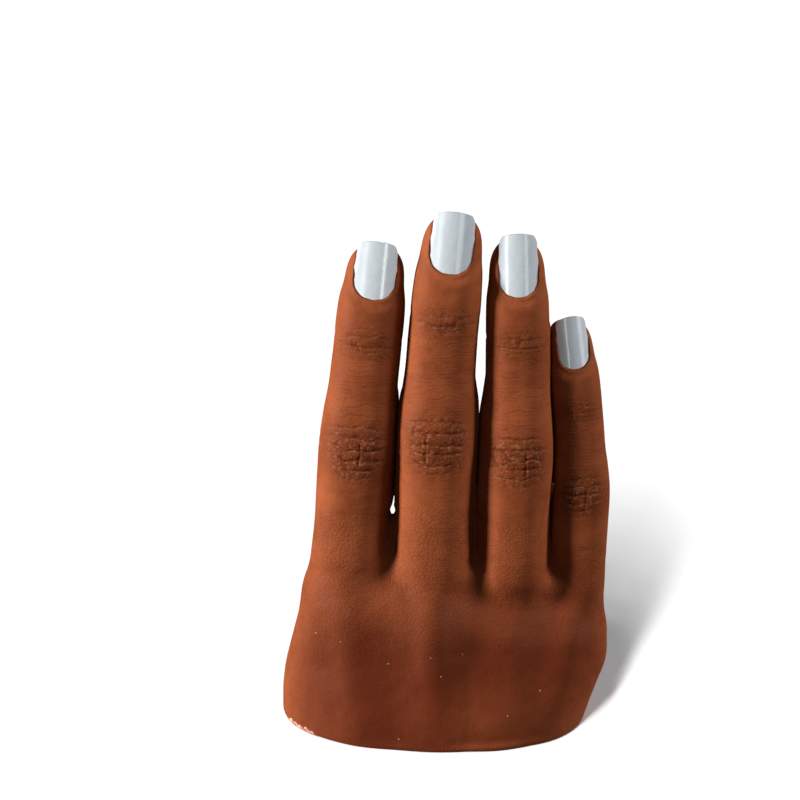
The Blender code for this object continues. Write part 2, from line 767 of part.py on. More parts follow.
def build_palm(frames, roots):
    """Palm flesh, knuckle flesh and core."""
    whole = build_whole_palm(frames, roots)
    space = armature_space(frames, roots)
    point, normal = parting_plane(frames)
    half_gap = normal * PART_GAP / 2
    palm = copy_of(whole, "palm_skin")
    keep_side(palm, point - half_gap, normal)
    knuckles = copy_of(whole, "knuckle_skin")
    keep_side(knuckles, point + half_gap, -normal)
    for flesh in (palm, knuckles):
        boolean(flesh, space)
        flesh.data.materials.clear()
        flesh.data.materials.append(material("silicone"))
        flesh.hide_render = False
        flesh.display_type = "TEXTURED"
    core = new_object("palm_core", core_plate(frames, 0, 0), "armature")
    for name, finger in FINGERS.items():
        stem = CORE_TOP_DROP + CORE_THICKNESS / 2 - hinge_of(finger, KNUCKLE).eye
        fork = slotted_fork(name + "_knuckle_fork", finger, KNUCKLE, stem, roots[name])
        fork.hide_render = True
        fork.display_type = "WIRE"
        boolean(core, fork, "UNION")


def build_finger(name, finger, root, root_height):
    """One finger above its root: bones, pins, flesh, sleeves and nail, each on the empty of its joint."""
    middle_at = joint_height(finger, MIDDLE_JOINT)
    tip_at = joint_height(finger, TIP_JOINT)
    middle_joint = new_empty(name + "_middle_joint", Matrix.Translation((0, 0, finger.proximal)), root)
    tip_joint = new_empty(name + "_tip_joint", Matrix.Translation((0, 0, finger.middle)), middle_joint)
    nail_frame = new_empty(name + "_nail_frame", nail_matrix(finger), tip_joint)

    build_pin(name + "_knuckle_pin", finger, KNUCKLE, root)
    build_pin(name + "_middle_pin", finger, MIDDLE_JOINT, middle_joint)
    build_pin(name + "_tip_pin", finger, TIP_JOINT, tip_joint)
    build_bone(name + "_proximal_bone", finger, KNUCKLE, root)
    build_bone(name + "_middle_bone", finger, MIDDLE_JOINT, middle_joint)
    build_bone(name + "_distal_bone", finger, TIP_JOINT, tip_joint)

    middle_sleeve = sleeve_half(finger, MIDDLE_JOINT)
    tip_sleeve = sleeve_half(finger, TIP_JOINT)
    shank = {joint: hinge_of(finger, joint).shank + PART_GAP for joint in (KNUCKLE, MIDDLE_JOINT)}
    build_flesh(
        name + "_proximal_skin",
        finger,
        0,
        root_height + PART_GAP,
        middle_at - middle_sleeve - PART_GAP,
        PROXIMAL_BAND_COUNT,
        shank[KNUCKLE],
        root,
    )
    build_flesh(
        name + "_middle_sleeve",
        finger,
        middle_at,
        middle_at - middle_sleeve,
        middle_at + middle_sleeve,
        MIDDLE_SLEEVE_BAND_COUNT,
        hinge_reach(hinge_of(finger, MIDDLE_JOINT)),
        middle_joint,
    )
    build_flesh(
        name + "_middle_skin",
        finger,
        middle_at,
        middle_at + middle_sleeve + PART_GAP,
        tip_at - tip_sleeve - PART_GAP,
        MIDDLE_BAND_COUNT,
        shank[MIDDLE_JOINT],
        middle_joint,
    )
    build_flesh(
        name + "_tip_sleeve",
        finger,
        tip_at,
        tip_at - tip_sleeve,
        tip_at + tip_sleeve,
        TIP_SLEEVE_BAND_COUNT,
        hinge_reach(hinge_of(finger, TIP_JOINT)),
        tip_joint,
    )
    build_fingertip(name + "_tip_skin", finger, tip_joint, nail_frame)
    build_nail(name + "_nail", finger, nail_frame)


def main():
    for obj in list(bpy.data.objects):
        bpy.data.objects.remove(obj)
    frames = finger_frames()
    roots = {name: new_empty(name + "_knuckle_joint", frames[name]) for name in FINGERS}
    bpy.context.view_layer.update()
    build_palm(frames, roots)
    for name, finger in FINGERS.items():
        build_finger(name, finger, roots[name], root_top(name, frames))
    bpy.context.view_layer.update()


main()
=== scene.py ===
"""Looks of the nail practice hand: one silicone skin with its creases, and four press-on nails."""

import json
import math
from collections import namedtuple

import bpy
import numpy as np
from mathutils import Matrix, Vector


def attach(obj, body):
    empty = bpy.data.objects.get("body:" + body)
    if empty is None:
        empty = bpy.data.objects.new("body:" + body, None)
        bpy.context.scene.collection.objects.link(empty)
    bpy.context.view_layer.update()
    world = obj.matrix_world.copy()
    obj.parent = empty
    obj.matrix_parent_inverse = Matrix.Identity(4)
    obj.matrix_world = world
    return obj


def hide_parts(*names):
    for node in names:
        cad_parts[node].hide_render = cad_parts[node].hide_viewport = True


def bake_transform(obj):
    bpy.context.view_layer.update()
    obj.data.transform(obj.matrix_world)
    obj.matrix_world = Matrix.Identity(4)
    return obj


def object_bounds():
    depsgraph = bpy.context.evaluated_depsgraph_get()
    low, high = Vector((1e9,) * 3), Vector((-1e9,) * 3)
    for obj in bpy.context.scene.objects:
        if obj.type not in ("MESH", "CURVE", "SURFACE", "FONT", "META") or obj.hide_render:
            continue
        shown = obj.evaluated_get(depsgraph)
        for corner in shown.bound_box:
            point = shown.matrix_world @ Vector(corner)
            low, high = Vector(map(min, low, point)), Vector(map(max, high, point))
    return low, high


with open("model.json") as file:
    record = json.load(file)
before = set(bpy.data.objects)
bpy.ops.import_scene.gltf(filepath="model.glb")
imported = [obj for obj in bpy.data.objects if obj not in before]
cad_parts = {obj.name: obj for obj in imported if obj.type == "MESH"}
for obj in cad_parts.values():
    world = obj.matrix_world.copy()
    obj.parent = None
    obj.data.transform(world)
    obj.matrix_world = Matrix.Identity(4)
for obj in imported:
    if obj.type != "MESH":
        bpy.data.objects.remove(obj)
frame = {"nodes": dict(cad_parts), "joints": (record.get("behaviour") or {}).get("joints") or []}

CAD_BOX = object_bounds()

MM = 0.001
DEGREE = math.pi / 180

# Fingers. Their joints, lengths and leans come from the frame. What it doesn't give is in this table:
# the name, width, length of the last link, bow to one side, roll and nail length.
Finger = namedtuple("Finger", "name width distal bow roll nail_length origin turn proximal middle")
FINGER_SIZES = (
    ("index", 18.8 * MM, 21.1 * MM, -0.4 * MM, 1 * DEGREE, 13.1 * MM),
    ("middle", 19.2 * MM, 23.2 * MM, -1.4 * MM, 0 * DEGREE, 13.9 * MM),
    ("ring", 17.7 * MM, 23.0 * MM, 1.0 * MM, 3 * DEGREE, 14.3 * MM),
    ("little", 14.3 * MM, 20.4 * MM, 2.2 * MM, 8 * DEGREE, 12.3 * MM),
)

# Finger outline, from knuckle to where the tip rounds off. Each row is a link, a share along it, then the
# full width and the depths to the back and to the pad, as shares of the finger's width.
OUTLINE_SHARES = (
    ("proximal", -0.30, 0.90, 0.41, 0.49),
    ("proximal", 0.20, 0.985, 0.455, 0.53),
    ("proximal", 0.50, 0.95, 0.435, 0.49),
    ("proximal", 0.80, 0.985, 0.445, 0.445),
    ("middle", 0.00, 1.00, 0.465, 0.435),
    ("middle", 0.25, 0.955, 0.43, 0.435),
    ("middle", 0.50, 0.885, 0.39, 0.43),
    ("middle", 0.80, 0.865, 0.375, 0.39),
    ("distal", 0.00, 0.855, 0.38, 0.37),
    ("distal", 0.22, 0.85, 0.365, 0.38),
    ("distal", 0.42, 0.825, 0.35, 0.40),
    ("distal", 0.62, 0.75, 0.31, 0.39),
    ("distal", 1.00, 0.70, 0.285, 0.37),
)
TIP_ROUND_START = 0.60
TIP_ROUND_POWER = 3.3
TIP_ROUND_ROOT = 2.4
TIP_FULLNESS = 0.5 * MM
FINGER_SQUARENESS = 2.25
DROOP_SHARE = 0.06

# Palm, as sections from the cut base to the webs
PALM_DORSAL_AT_BASE = 23.0 * MM
PALM_PALMAR_AT_BASE = 15.0 * MM
PALM_CENTRE_AT_BASE = 4.0 * MM
PALM_DORSAL_AT_KNUCKLES = 13.2 * MM
PALM_PALMAR_AT_KNUCKLES = 14.0 * MM
SIDE_FLESH = 0.9 * MM
THUMB_FLARE = 6.7 * MM
HEEL_TAPER = 5.0 * MM
PALM_TURN = 2.5 * DEGREE
INDEX_WEB_HEIGHT = 42.2 * MM
LITTLE_WEB_HEIGHT = 35.0 * MM
WEB_RISE = 2.0 * MM
KNUCKLE_RIDGE = 0.9 * MM
RIDGE_WIDTH_SHARE = 0.36
BONE_SPREAD_AT_BASE = 0.86  # how far the bones draw together towards the wrist
SQUARENESS_AT_BASE = 2.3
SQUARENESS_AT_KNUCKLES = 2.9
# Share of the web's height, then the thumb flare and heel taper left, then how far the depths have gone
PALM_SHARES = (
    (0.00, 1.00, 1.00, 0.00),
    (0.17, 0.95, 0.66, 0.12),
    (0.33, 0.76, 0.34, 0.35),
    (0.48, 0.48, 0.12, 0.60),
    (0.63, 0.20, 0.08, 0.82),
    (0.78, -0.02, 0.12, 1.00),
    (0.90, -0.09, 0.16, 1.10),
    (1.00, -0.12, 0.20, 1.15),
)
TOP_ROUND_START = 0.68
TOP_ROUND_END = 1.03
TOP_ROUND_POWER = 2.6
PARTING_DROP = 5.5 * MM

# How softly the parts of the surface run into each other
ROOT_JOIN = 4.5 * MM
WEB_JOIN = 8 * MM
WEB_JOIN_FADE = (2 * MM, 13 * MM)  # over the webs
BASE_ROUND = 0.8 * MM
ROOT_DEPTH = 12.0 * MM

# Mesh sizes
PALM_CELL = 0.5 * MM
RING_STEP = 0.27 * MM
COLUMN_COUNT = 208
NAIL_STEP = 0.22 * MM
SLOPE_STEP = 0.02 * MM
SETTLING_ROUNDS = 3

# Where the skin would bend, which nothing here uses, and where one piece of it ends, as shares of a finger's
# width
MIDDLE_BEND_SHARE = 0.50
TIP_BEND_SHARE = 0.40
SEAM_SHARE = 0.62
SPLIT_SHARE = 0.55

# Nails
NAIL_THICKNESS = 0.7 * MM
NAIL_TONGUE = 3.0 * MM
NAIL_DEPTH_UNDER_FOLD = 0.9 * MM
NAIL_WIDTH_SHARE = 0.505
NAIL_RADIUS_SHARE = 0.43
NAIL_PITCH = 4 * DEGREE
CUTICLE_SHARE = 0.485


# Small maths


def ease(low, high, value):
    """0 up to low, 1 from high, and a smooth climb between them."""
    t = np.clip((value - low) / (high - low), 0, 1)
    return t * t * (3 - 2 * t)


def hump(value, width):
    """1 at zero, falling away on both sides."""
    return np.exp(-((value / width) ** 2))


def between(low, high, share):
    return low + (high - low) * share


def smooth_rows(table, values):
    """The rows of a table at many values of its first column, by a smooth curve through them."""
    table = np.asarray(table, float)
    x, y = table[:, 0], table[:, 1:]
    padded_x = np.concatenate([x[:1], x, x[-1:]])
    padded_y = np.concatenate([y[:1], y, y[-1:]])
    slopes = (padded_y[2:] - padded_y[:-2]) / (padded_x[2:] - padded_x[:-2])[:, None]
    at = np.clip(np.searchsorted(x, values) - 1, 0, len(x) - 2)
    span = (x[at + 1] - x[at])[:, None]
    t = np.clip((values - x[at])[:, None] / span, 0, 1)
    low, high = y[at], y[at + 1]
    return (
        low * (2 * t**3 - 3 * t**2 + 1)
        + slopes[at] * span * (t**3 - 2 * t**2 + t)
        + high * (3 * t**2 - 2 * t**3)
        + slopes[at + 1] * span * (t**3 - t**2)
    )


def hashed(cells, seed):
    """A fixed number from 0 to 1 for each whole-number cell."""
    mixed = cells[..., 0] * 73856093 ^ cells[..., 1] * 19349663 ^ cells[..., 2] * 83492791 ^ seed * 2654435761
    mixed = (mixed ^ (mixed >> 13)) * 1274126177
    return ((mixed ^ (mixed >> 16)) & 0xFFFF) / 0xFFFF


def noise(points, size, seed):
    """Smooth noise from -1 to 1 whose bumps are about one size across."""
    scaled = points / size
    base = np.floor(scaled).astype(np.int64)
    part = scaled - base
    part = part * part * (3 - 2 * part)
    total = np.zeros(points.shape[:-1])
    for corner in np.ndindex(2, 2, 2):
        weight = np.prod(np.where(corner, part, 1 - part), axis=-1)
        total += weight * hashed(base + np.array(corner), seed)
    return 2 * total - 1


def smooth_min(a, b, width):
    """The lesser of two values, rounded where they are closer than a width."""
    h = np.maximum(width - np.abs(a - b), 0) / np.maximum(width, 1e-9)
    return np.minimum(a, b) - h * h * width / 4


def smooth_max(a, b, width):
    return -smooth_min(-a, -b, width)


def unit(vectors):
    return vectors / np.maximum(np.linalg.norm(vectors, axis=-1, keepdims=True), 1e-12)


# The fingers, from the frame's joints


JOINTS = {joint["name"]: joint for joint in frame["joints"]}


def read_finger(name, *sizes):
    """A finger with its knuckle's place, its own axes and the lengths of its first two links."""
    hinges = [JOINTS[f"{name}_{place}_hinge"] for place in ("knuckle", "middle", "tip")]
    knuckle, middle, tip = (np.array(hinge["pos_m"]) for hinge in hinges)
    across = -np.array(hinges[0]["axis"])
    along = unit(middle - knuckle)
    turn = np.stack([across, np.cross(along, across), along], axis=1)
    lengths = np.linalg.norm(middle - knuckle), np.linalg.norm(tip - middle)
    return Finger(name, *sizes, knuckle, turn, *lengths)


FINGERS = [read_finger(*row) for row in FINGER_SIZES]


def length_of(finger):
    return finger.proximal + finger.middle + finger.distal


def height_of(finger, link, share=0.0):
    """The height over the knuckle of a share along one link."""
    starts = {"proximal": 0, "middle": finger.proximal, "distal": finger.proximal + finger.middle}
    return starts[link] + share * getattr(finger, link)


def to_world(finger, local):
    return finger.origin + local @ finger.turn.T


def to_local(finger, points):
    return (points - finger.origin) @ finger.turn


def seam_height(finger):
    """Where the finger's root ends and the skin of its middle joint starts."""
    return SEAM_SHARE * finger.proximal


def split_height(finger):
    """Where the skin of the middle joint ends and that of the tip joint starts."""
    return height_of(finger, "middle", SPLIT_SHARE)


def skin_top(finger):
    return length_of(finger) + TIP_FULLNESS


def section(finger, heights):
    """Half width, depths to the back and the pad, and how far aside and inward the middle lies, by height."""
    rows = [
        (height_of(finger, link, share), wide / 2 * finger.width, back * finger.width, pad * finger.width)
        for link, share, wide, back, pad in OUTLINE_SHARES
    ]
    half, back, pad = smooth_rows(rows, heights).T
    start = height_of(finger, "distal", TIP_ROUND_START)
    t = np.clip((heights - start) / (skin_top(finger) - start), 0, 1)
    closing = np.maximum(1 - t**TIP_ROUND_POWER, 0) ** (1 / TIP_ROUND_ROOT)
    along = np.clip(heights / length_of(finger), 0, 1)
    aside = finger.bow * np.sin(np.pi * along)
    inward = DROOP_SHARE * finger.width * along**2
    return half * closing, back * closing, pad * closing, aside, inward


# Where neighbouring fingers press together

# For each pair: the height under which they touch, how far their meeting face leans across per depth, and
# over what height they part
SLIT_TOPS = (84.5 * MM, 79.5 * MM, 101.0 * MM)
SLIT_LEANS = (0.12, -0.14, -0.25)
SLIT_TAPERS = (5 * MM, 13 * MM, 5 * MM)
SLIT_GAP = 0.22 * MM
SLIT_PRESS = 0.5 * MM
SLIT_ROUND = 0.4 * MM
SLIT_REACH = 20 * MM
SLIT_SAMPLES = 400
SLIT_FADE_SHARE = 0.6
SLIT_FADE = 3 * MM
PRESSED_DEPTHS = (-3.5 * MM, 0.5 * MM)
# Index and middle part again for a short way above their web
SLIVER_LOW = 56.2 * MM
SLIVER_HIGH = 59.8 * MM
SLIVER_SHARE = 0.72
SLIVER_SPREAD_SHARE = 0.6

Slit = namedtuple("Slit", "heights middle gap depth top lean taper")


def finger_edge(finger, side, heights):
    """Where a finger's widest line on one side lies, across and in depth, at heights over the floor."""
    along = np.linspace(0, length_of(finger), SLIT_SAMPLES)
    half, _, _, aside, inward = section(finger, along)
    edge = to_world(finger, np.stack([aside + side * half, inward, along], axis=1))
    return [np.interp(heights, edge[:, 2], edge[:, axis]) for axis in (0, 1)]


def read_slit(left, right, top, lean, taper):
    """How wide the space between two fingers would be, and where its middle lies, from knuckle to top."""
    heights = np.linspace(left.origin[2], top + SLIT_REACH, SLIT_SAMPLES)
    left_x, left_y = finger_edge(left, 1, heights)
    right_x, right_y = finger_edge(right, -1, heights)
    return Slit(heights, (left_x + right_x) / 2, right_x - left_x, (left_y + right_y) / 2, top, lean, taper)


SLITS = [read_slit(*pair) for pair in zip(FINGERS, FINGERS[1:], SLIT_TOPS, SLIT_LEANS, SLIT_TAPERS)]


def slit_beside(finger, side):
    """The slit at a finger's left or right side, -1 or 1, or None at the hand's outer sides."""
    at = FINGERS.index(finger) + (side - 1) // 2
    return SLITS[at] if 0 <= at < len(SLITS) else None


def crowding(finger, points, side):
    """How much a finger widens at points on one side, where it presses on its neighbour."""
    slit = slit_beside(finger, side)
    y, z = points[..., 1], points[..., 2]
    if slit is None:
        return np.zeros(y.shape)
    closed = np.clip((slit.top + slit.taper - z) / slit.taper, 0, 1)
    if slit is SLITS[0]:
        sliver = hump(z - (SLIVER_LOW + SLIVER_HIGH) / 2, SLIVER_SPREAD_SHARE * (SLIVER_HIGH - SLIVER_LOW))
        closed = closed * (1 - SLIVER_SHARE * sliver)
    palmward = ease(*PRESSED_DEPTHS, y - np.interp(z, slit.heights, slit.depth))
    return (np.interp(z, slit.heights, slit.gap) / 2 + SLIT_PRESS) * closed * palmward


def keep_apart(finger, points):
    """Stops a finger's skin just short of the faces where it meets its neighbours."""
    moved = points.copy()
    for side in (-1, 1):
        slit = slit_beside(finger, side)
        if slit is None:
            continue
        z = points[..., 2]
        middle = np.interp(z, slit.heights, slit.middle)
        middle = middle + slit.lean * (points[..., 1] - np.interp(z, slit.heights, slit.depth))
        limit = side * middle - SLIT_GAP / 2
        held = side * smooth_min(side * points[..., 0], limit, SLIT_ROUND)
        start = slit.top + SLIT_FADE_SHARE * slit.taper
        share = 1 - ease(start, start + SLIT_FADE, z)
        moved[..., 0] += (held - points[..., 0]) * share
    return moved


def finger_distance(finger, points):
    """About how far each point lies outside a finger."""
    local = to_local(finger, points)
    half, back, pad, aside, inward = section(finger, local[:, 2])
    beside = np.where(local[:, 0] > aside, crowding(finger, points, 1), crowding(finger, points, -1))
    half = half + beside
    x, y = local[:, 0] - aside, local[:, 1] - inward
    c, s = math.cos(finger.roll), math.sin(finger.roll)
    x, y = c * x + s * y, c * y - s * x
    depth = np.where(y > 0, pad, back)
    n = FINGER_SQUARENESS
    radial = (np.abs(x / half) ** n + np.abs(y / depth) ** n) ** (1 / n)
    side = (radial - 1) * np.sqrt(half * depth)
    return smooth_max(side, -ROOT_DEPTH - local[:, 2], ROOT_JOIN)


# The palm


def web_height(x):
    """The webs' height over the floor, which falls from the index finger's side to the little finger's."""
    first = (FINGERS[0].origin[0] + FINGERS[1].origin[0]) / 2
    last = (FINGERS[2].origin[0] + FINGERS[3].origin[0]) / 2
    return INDEX_WEB_HEIGHT + (LITTLE_WEB_HEIGHT - INDEX_WEB_HEIGHT) * (x - first) / (last - first)


def knuckle_setback(x):
    """How far the row of knuckles lies towards the palm at each x, eased from knuckle to knuckle."""
    setback = np.full(x.shape, FINGERS[0].origin[1])
    for before, after in zip(FINGERS, FINGERS[1:]):
        step = after.origin[1] - before.origin[1]
        setback += step * ease(before.origin[0], after.origin[0], x)
    return setback


def bone_line(finger, share):
    """Where a finger's bone runs across the hand, at a share of the way up to the webs."""
    return finger.origin[0] * (BONE_SPREAD_AT_BASE + 0.14 * share)


def ridges(x, share):
    """The bones' ridges on the back of the hand, which draw together towards the wrist."""
    height = np.zeros(x.shape)
    for finger in FINGERS:
        height = np.maximum(height, hump(x - bone_line(finger, share), RIDGE_WIDTH_SHARE * finger.width))
    return height


def palm_radial(points):
    """1 on the palm's surface, less inside and more outside."""
    x, y, z = points.T
    web = web_height(x)
    lift = WEB_RISE * np.clip(y / PALM_PALMAR_AT_KNUCKLES, -1, 1)
    share = z / web
    share = (z - lift * np.clip(share, 0, 1) ** 4) / web
    flare, taper, depth = smooth_rows(PALM_SHARES, share).T
    left = FINGERS[0].origin[0] - FINGERS[0].width / 2 - SIDE_FLESH - flare * THUMB_FLARE
    right = FINGERS[3].origin[0] + FINGERS[3].width / 2 + SIDE_FLESH - taper * HEEL_TAPER
    middle, half = (left + right) / 2, (right - left) / 2
    back = between(PALM_DORSAL_AT_BASE, PALM_DORSAL_AT_KNUCKLES, depth)
    front = between(PALM_PALMAR_AT_BASE, PALM_PALMAR_AT_KNUCKLES, depth)
    settled = np.clip(depth, 0, 1)
    n = between(SQUARENESS_AT_BASE, SQUARENESS_AT_KNUCKLES, settled)
    centre = PALM_CENTRE_AT_BASE * (1 - depth) + share * knuckle_setback(x)
    centre = centre - math.sin(PALM_TURN) * (1 - settled) * (x - middle)
    back = back + KNUCKLE_RIDGE * (0.35 + 0.65 * np.clip(share, 0, 1)) * (2 * ridges(x, share) - 1) * 0.7
    across = np.abs((x - middle) / half)
    through = np.abs(y - centre) / np.where(y > centre, front, back)
    t = np.clip((share - TOP_ROUND_START) / (TOP_ROUND_END - TOP_ROUND_START), 0, 2)
    through = np.sqrt(through**2 + t**TOP_ROUND_POWER)
    return (across**n + through**n) ** (1 / n)


def gradient(function, points):
    """A function's value at each point, and its slopes along x, y and z."""
    value = function(points)
    slopes = [(function(points + SLOPE_STEP * axis) - value) / SLOPE_STEP for axis in np.eye(3)]
    return value, np.stack(slopes, axis=1)


def palm_distance(points):
    radial, slopes = gradient(palm_radial, points)
    return (radial - 1) / np.maximum(np.linalg.norm(slopes, axis=1), 1)


def hand_distance(points):
    """About how far each point lies outside the palm and the finger roots."""
    join = WEB_JOIN * (1 - ease(*WEB_JOIN_FADE, points[:, 2] - web_height(points[:, 0])))
    fingers = finger_distance(FINGERS[0], points)
    for finger in FINGERS[1:]:
        fingers = smooth_min(fingers, finger_distance(finger, points), join)
    whole = smooth_min(palm_distance(points), fingers, ROOT_JOIN)
    return smooth_max(whole, -points[:, 2], BASE_ROUND)


# Surfaces from a distance


def surface_net(distance, low, high, cell):
    """Points and quads of the surface where a distance is zero, from a grid of cells."""
    counts = np.ceil((high - low) / cell).astype(int) + 1
    axes = [low[i] + cell * np.arange(counts[i]) for i in range(3)]
    values = np.empty(counts)
    for i, x in enumerate(axes[0]):
        plane = np.stack(np.meshgrid([x], axes[1], axes[2], indexing="ij"), axis=-1)
        values[i] = distance(plane.reshape(-1, 3)).reshape(counts[1:])
    inside = values < 0
    corners = list(np.ndindex(2, 2, 2))
    cells = counts - 1

    def shifted(grid, corner):
        return grid[tuple(slice(corner[i], corner[i] + cells[i]) for i in range(3))]

    total = sum(shifted(inside, corner).astype(int) for corner in corners)
    mixed = (total > 0) & (total < 8)
    index = np.full(cells, -1)
    index[mixed] = np.arange(mixed.sum())
    at = np.argwhere(mixed)
    ends = np.stack([shifted(values, corner)[mixed] for corner in corners], axis=1)
    place = np.zeros((len(at), 3))
    hits = np.zeros(len(at))
    for i, a in enumerate(corners):
        for j, b in enumerate(corners):
            if i < j and sum(abs(p - q) for p, q in zip(a, b)) == 1:
                crossed = (ends[:, i] < 0) != (ends[:, j] < 0)
                share = np.where(crossed, ends[:, i] / np.where(crossed, ends[:, i] - ends[:, j], 1), 0)
                point = np.array(a) + share[:, None] * (np.array(b) - np.array(a))
                place += point * crossed[:, None]
                hits += crossed
    points = low + cell * (at + place / hits[:, None])
    quads = []
    for axis in range(3):
        first, second = [i for i in range(3) if i != axis]
        inner = [slice(1, counts[i] - 1) for i in range(3)]
        inner[axis] = slice(0, counts[axis] - 1)
        after = list(inner)
        after[axis] = slice(1, counts[axis])
        here, there = inside[tuple(inner)], inside[tuple(after)]
        for starts_in in (True, False):
            edge = np.argwhere((here == starts_in) & (there != starts_in))
            edge[:, first] += 1
            edge[:, second] += 1
            around = []
            for da, db in ((0, 0), (-1, 0), (-1, -1), (0, -1)):
                around.append(edge.copy())
                around[-1][:, first] += da
                around[-1][:, second] += db
            quad = np.stack([index[tuple(a.T)] for a in around], axis=1)
            flip = starts_in == (axis == 1)
            quads.append(quad if not flip else quad[:, ::-1])
    return points, np.concatenate(quads)


def settle(distance, points, quads):
    """Evens out a mesh along its surface and brings it back onto it."""
    edges = np.concatenate([quads[:, [i, (i + 1) % 4]] for i in range(4)])
    count = np.bincount(edges[:, 0], minlength=len(points)) + np.bincount(edges[:, 1], minlength=len(points))
    for turn in range(SETTLING_ROUNDS):
        if turn:
            total = np.zeros(points.shape)
            np.add.at(total, edges[:, 0], points[edges[:, 1]])
            np.add.at(total, edges[:, 1], points[edges[:, 0]])
            points = points + 0.5 * (total / count[:, None] - points)
        for _ in range(2):
            value, slopes = gradient(distance, points)
            size = np.maximum(np.sum(slopes**2, axis=1), 0.2)
            points = points - (value / size)[:, None] * slopes
    return points


def vertex_normals(points, triangles):
    a, b, c = (points[triangles[:, i]] for i in range(3))
    face = np.cross(b - a, c - a)
    total = np.zeros(points.shape)
    for i in range(3):
        np.add.at(total, triangles[:, i], face)
    return unit(total)


# Closed pieces cut from one surface. Each row of a cut mesh holds a point and what it carries.
CutMesh = namedtuple("CutMesh", "rows triangles cap")


def halves(quads):
    return np.concatenate([quads[:, [0, 1, 2]], quads[:, [0, 2, 3]]])


def clip(mesh, values):
    """Keeps what has a value under zero, and closes the cut with a fan."""
    rows, triangles, cap = mesh
    keep = values < 0
    inside = keep[triangles].sum(axis=1)
    whole = inside == 3
    made_rows = [rows]
    crossing = {}
    next_row = len(rows)

    def cut_point(a, b):
        nonlocal next_row
        key = (min(a, b), max(a, b))
        if key not in crossing:
            share = values[key[0]] / (values[key[0]] - values[key[1]])
            made_rows.append((rows[key[0]] + share * (rows[key[1]] - rows[key[0]]))[None])
            crossing[key] = next_row
            next_row += 1
        return crossing[key]

    new_triangles, new_cap = [], []
    for number in np.flatnonzero((inside > 0) & (inside < 3)):
        corner = triangles[number]
        lone_inside = inside[number] == 1
        lone = next(i for i in range(3) if keep[corner[i]] == lone_inside)
        a, b, c = corner[lone], corner[(lone + 1) % 3], corner[(lone + 2) % 3]
        ab, ac = cut_point(a, b), cut_point(a, c)
        if lone_inside:
            pieces = [(a, ab, ac)]
        else:
            pieces = [(ab, b, c), (ab, c, ac)]
        new_triangles += pieces
        new_cap += [cap[number]] * len(pieces)
    kept = np.concatenate([triangles[whole], np.array(new_triangles, int).reshape(-1, 3)])
    kept_cap = np.concatenate([cap[whole], np.array(new_cap, bool)])
    rows = np.concatenate(made_rows)
    directed = np.concatenate([kept[:, [0, 1]], kept[:, [1, 2]], kept[:, [2, 0]]])
    found = set(map(tuple, directed.tolist()))
    follow = {b: a for a, b in found if (b, a) not in found}
    fans, centres = [], []
    while follow:
        start, at = next(iter(follow.items()))
        loop = [start]
        del follow[start]
        while at != start and at in follow:
            loop.append(at)
            at = follow.pop(at)
        centre = len(rows) + len(centres)
        centres.append(rows[loop].mean(axis=0))
        fans += [(loop[i], loop[(i + 1) % len(loop)], centre) for i in range(len(loop))]
    if fans:
        rows = np.concatenate([rows, np.array(centres)])
        kept = np.concatenate([kept, np.array(fans)])
        kept_cap = np.concatenate([kept_cap, np.ones(len(fans), bool)])
    used, kept = np.unique(kept, return_inverse=True)
    return CutMesh(rows[used], kept.reshape(-1, 3), kept_cap)


# Skin relief. Every place and depth on a finger is a share of its width, measured from a joint.
Fold = namedtuple("Fold", "offset reach depth wave")
MIDDLE_FOLDS = (
    Fold(0.47, 0.30, 0.006, 0.6),
    Fold(0.33, 0.38, 0.016, 0.7),
    Fold(0.18, 0.42, 0.022, 0.9),
    Fold(0.03, 0.42, 0.027, 1.1),
    Fold(-0.11, 0.40, 0.025, 1.0),
    Fold(-0.25, 0.34, 0.018, 0.8),
    Fold(-0.38, 0.26, 0.008, 0.6),
)
TIP_FOLDS = (
    Fold(0.16, 0.26, 0.005, 0.5),
    Fold(0.07, 0.34, 0.011, 0.7),
    Fold(-0.05, 0.36, 0.014, 0.7),
    Fold(-0.13, 0.28, 0.006, 0.8),
    Fold(-0.22, 0.26, 0.004, 0.5),
)
PALM_SIDE_CREASES = (
    ("middle", 0.045, 0.024),
    ("middle", -0.06, 0.020),
    ("distal", 0.0, 0.020),
)
FOLD_WIDTH_SHARE = 0.017
FOLD_ARCH = 0.20
FURROWS = {"index": 0.03, "middle": -0.12, "ring": 0.10, "little": 0.06}
PATCH_POWER = 2.6
FURROW_DEPTH_SHARE = 0.014
CRINKLE_DEPTH_SHARE = 0.0075
RING_RISE_SHARE = 0.0016
SEAM_FADE_ABOVE = (0.3 * MM, 2.5 * MM)
SEAM_FADE_BELOW = (-2.5 * MM, -0.4 * MM)


def fold_relief(finger, x, h, points, joint, folds, seed):
    """How deep the folds over one joint lie, and how strongly each point is in one."""
    w = finger.width
    depth = np.zeros(x.shape)
    mark = np.zeros(x.shape)
    wobble = noise(points, 0.13 * w, seed)
    fine = noise(points, 0.045 * w, seed + 1)
    for number, fold in enumerate(folds):
        reach = fold.reach * w
        arch = fold.offset * w * (1 - FOLD_ARCH * (x / reach) ** 2)
        line = arch + fold.wave * (0.030 * wobble + 0.012 * fine) * w
        ends = 1 - ease(0.55, 1.15, np.abs(x + 0.04 * w * math.sin(3.1 * number)) / reach)
        broken = 0.72 + 0.28 * noise(points, 0.07 * w, seed + 5 + number)
        shape = hump(h - joint - line, FOLD_WIDTH_SHARE * w) * ends * broken
        depth = depth + 0.75 * fold.depth * w * shape
        mark = np.maximum(mark, shape * min(1, fold.depth / 0.016))
    return depth, mark


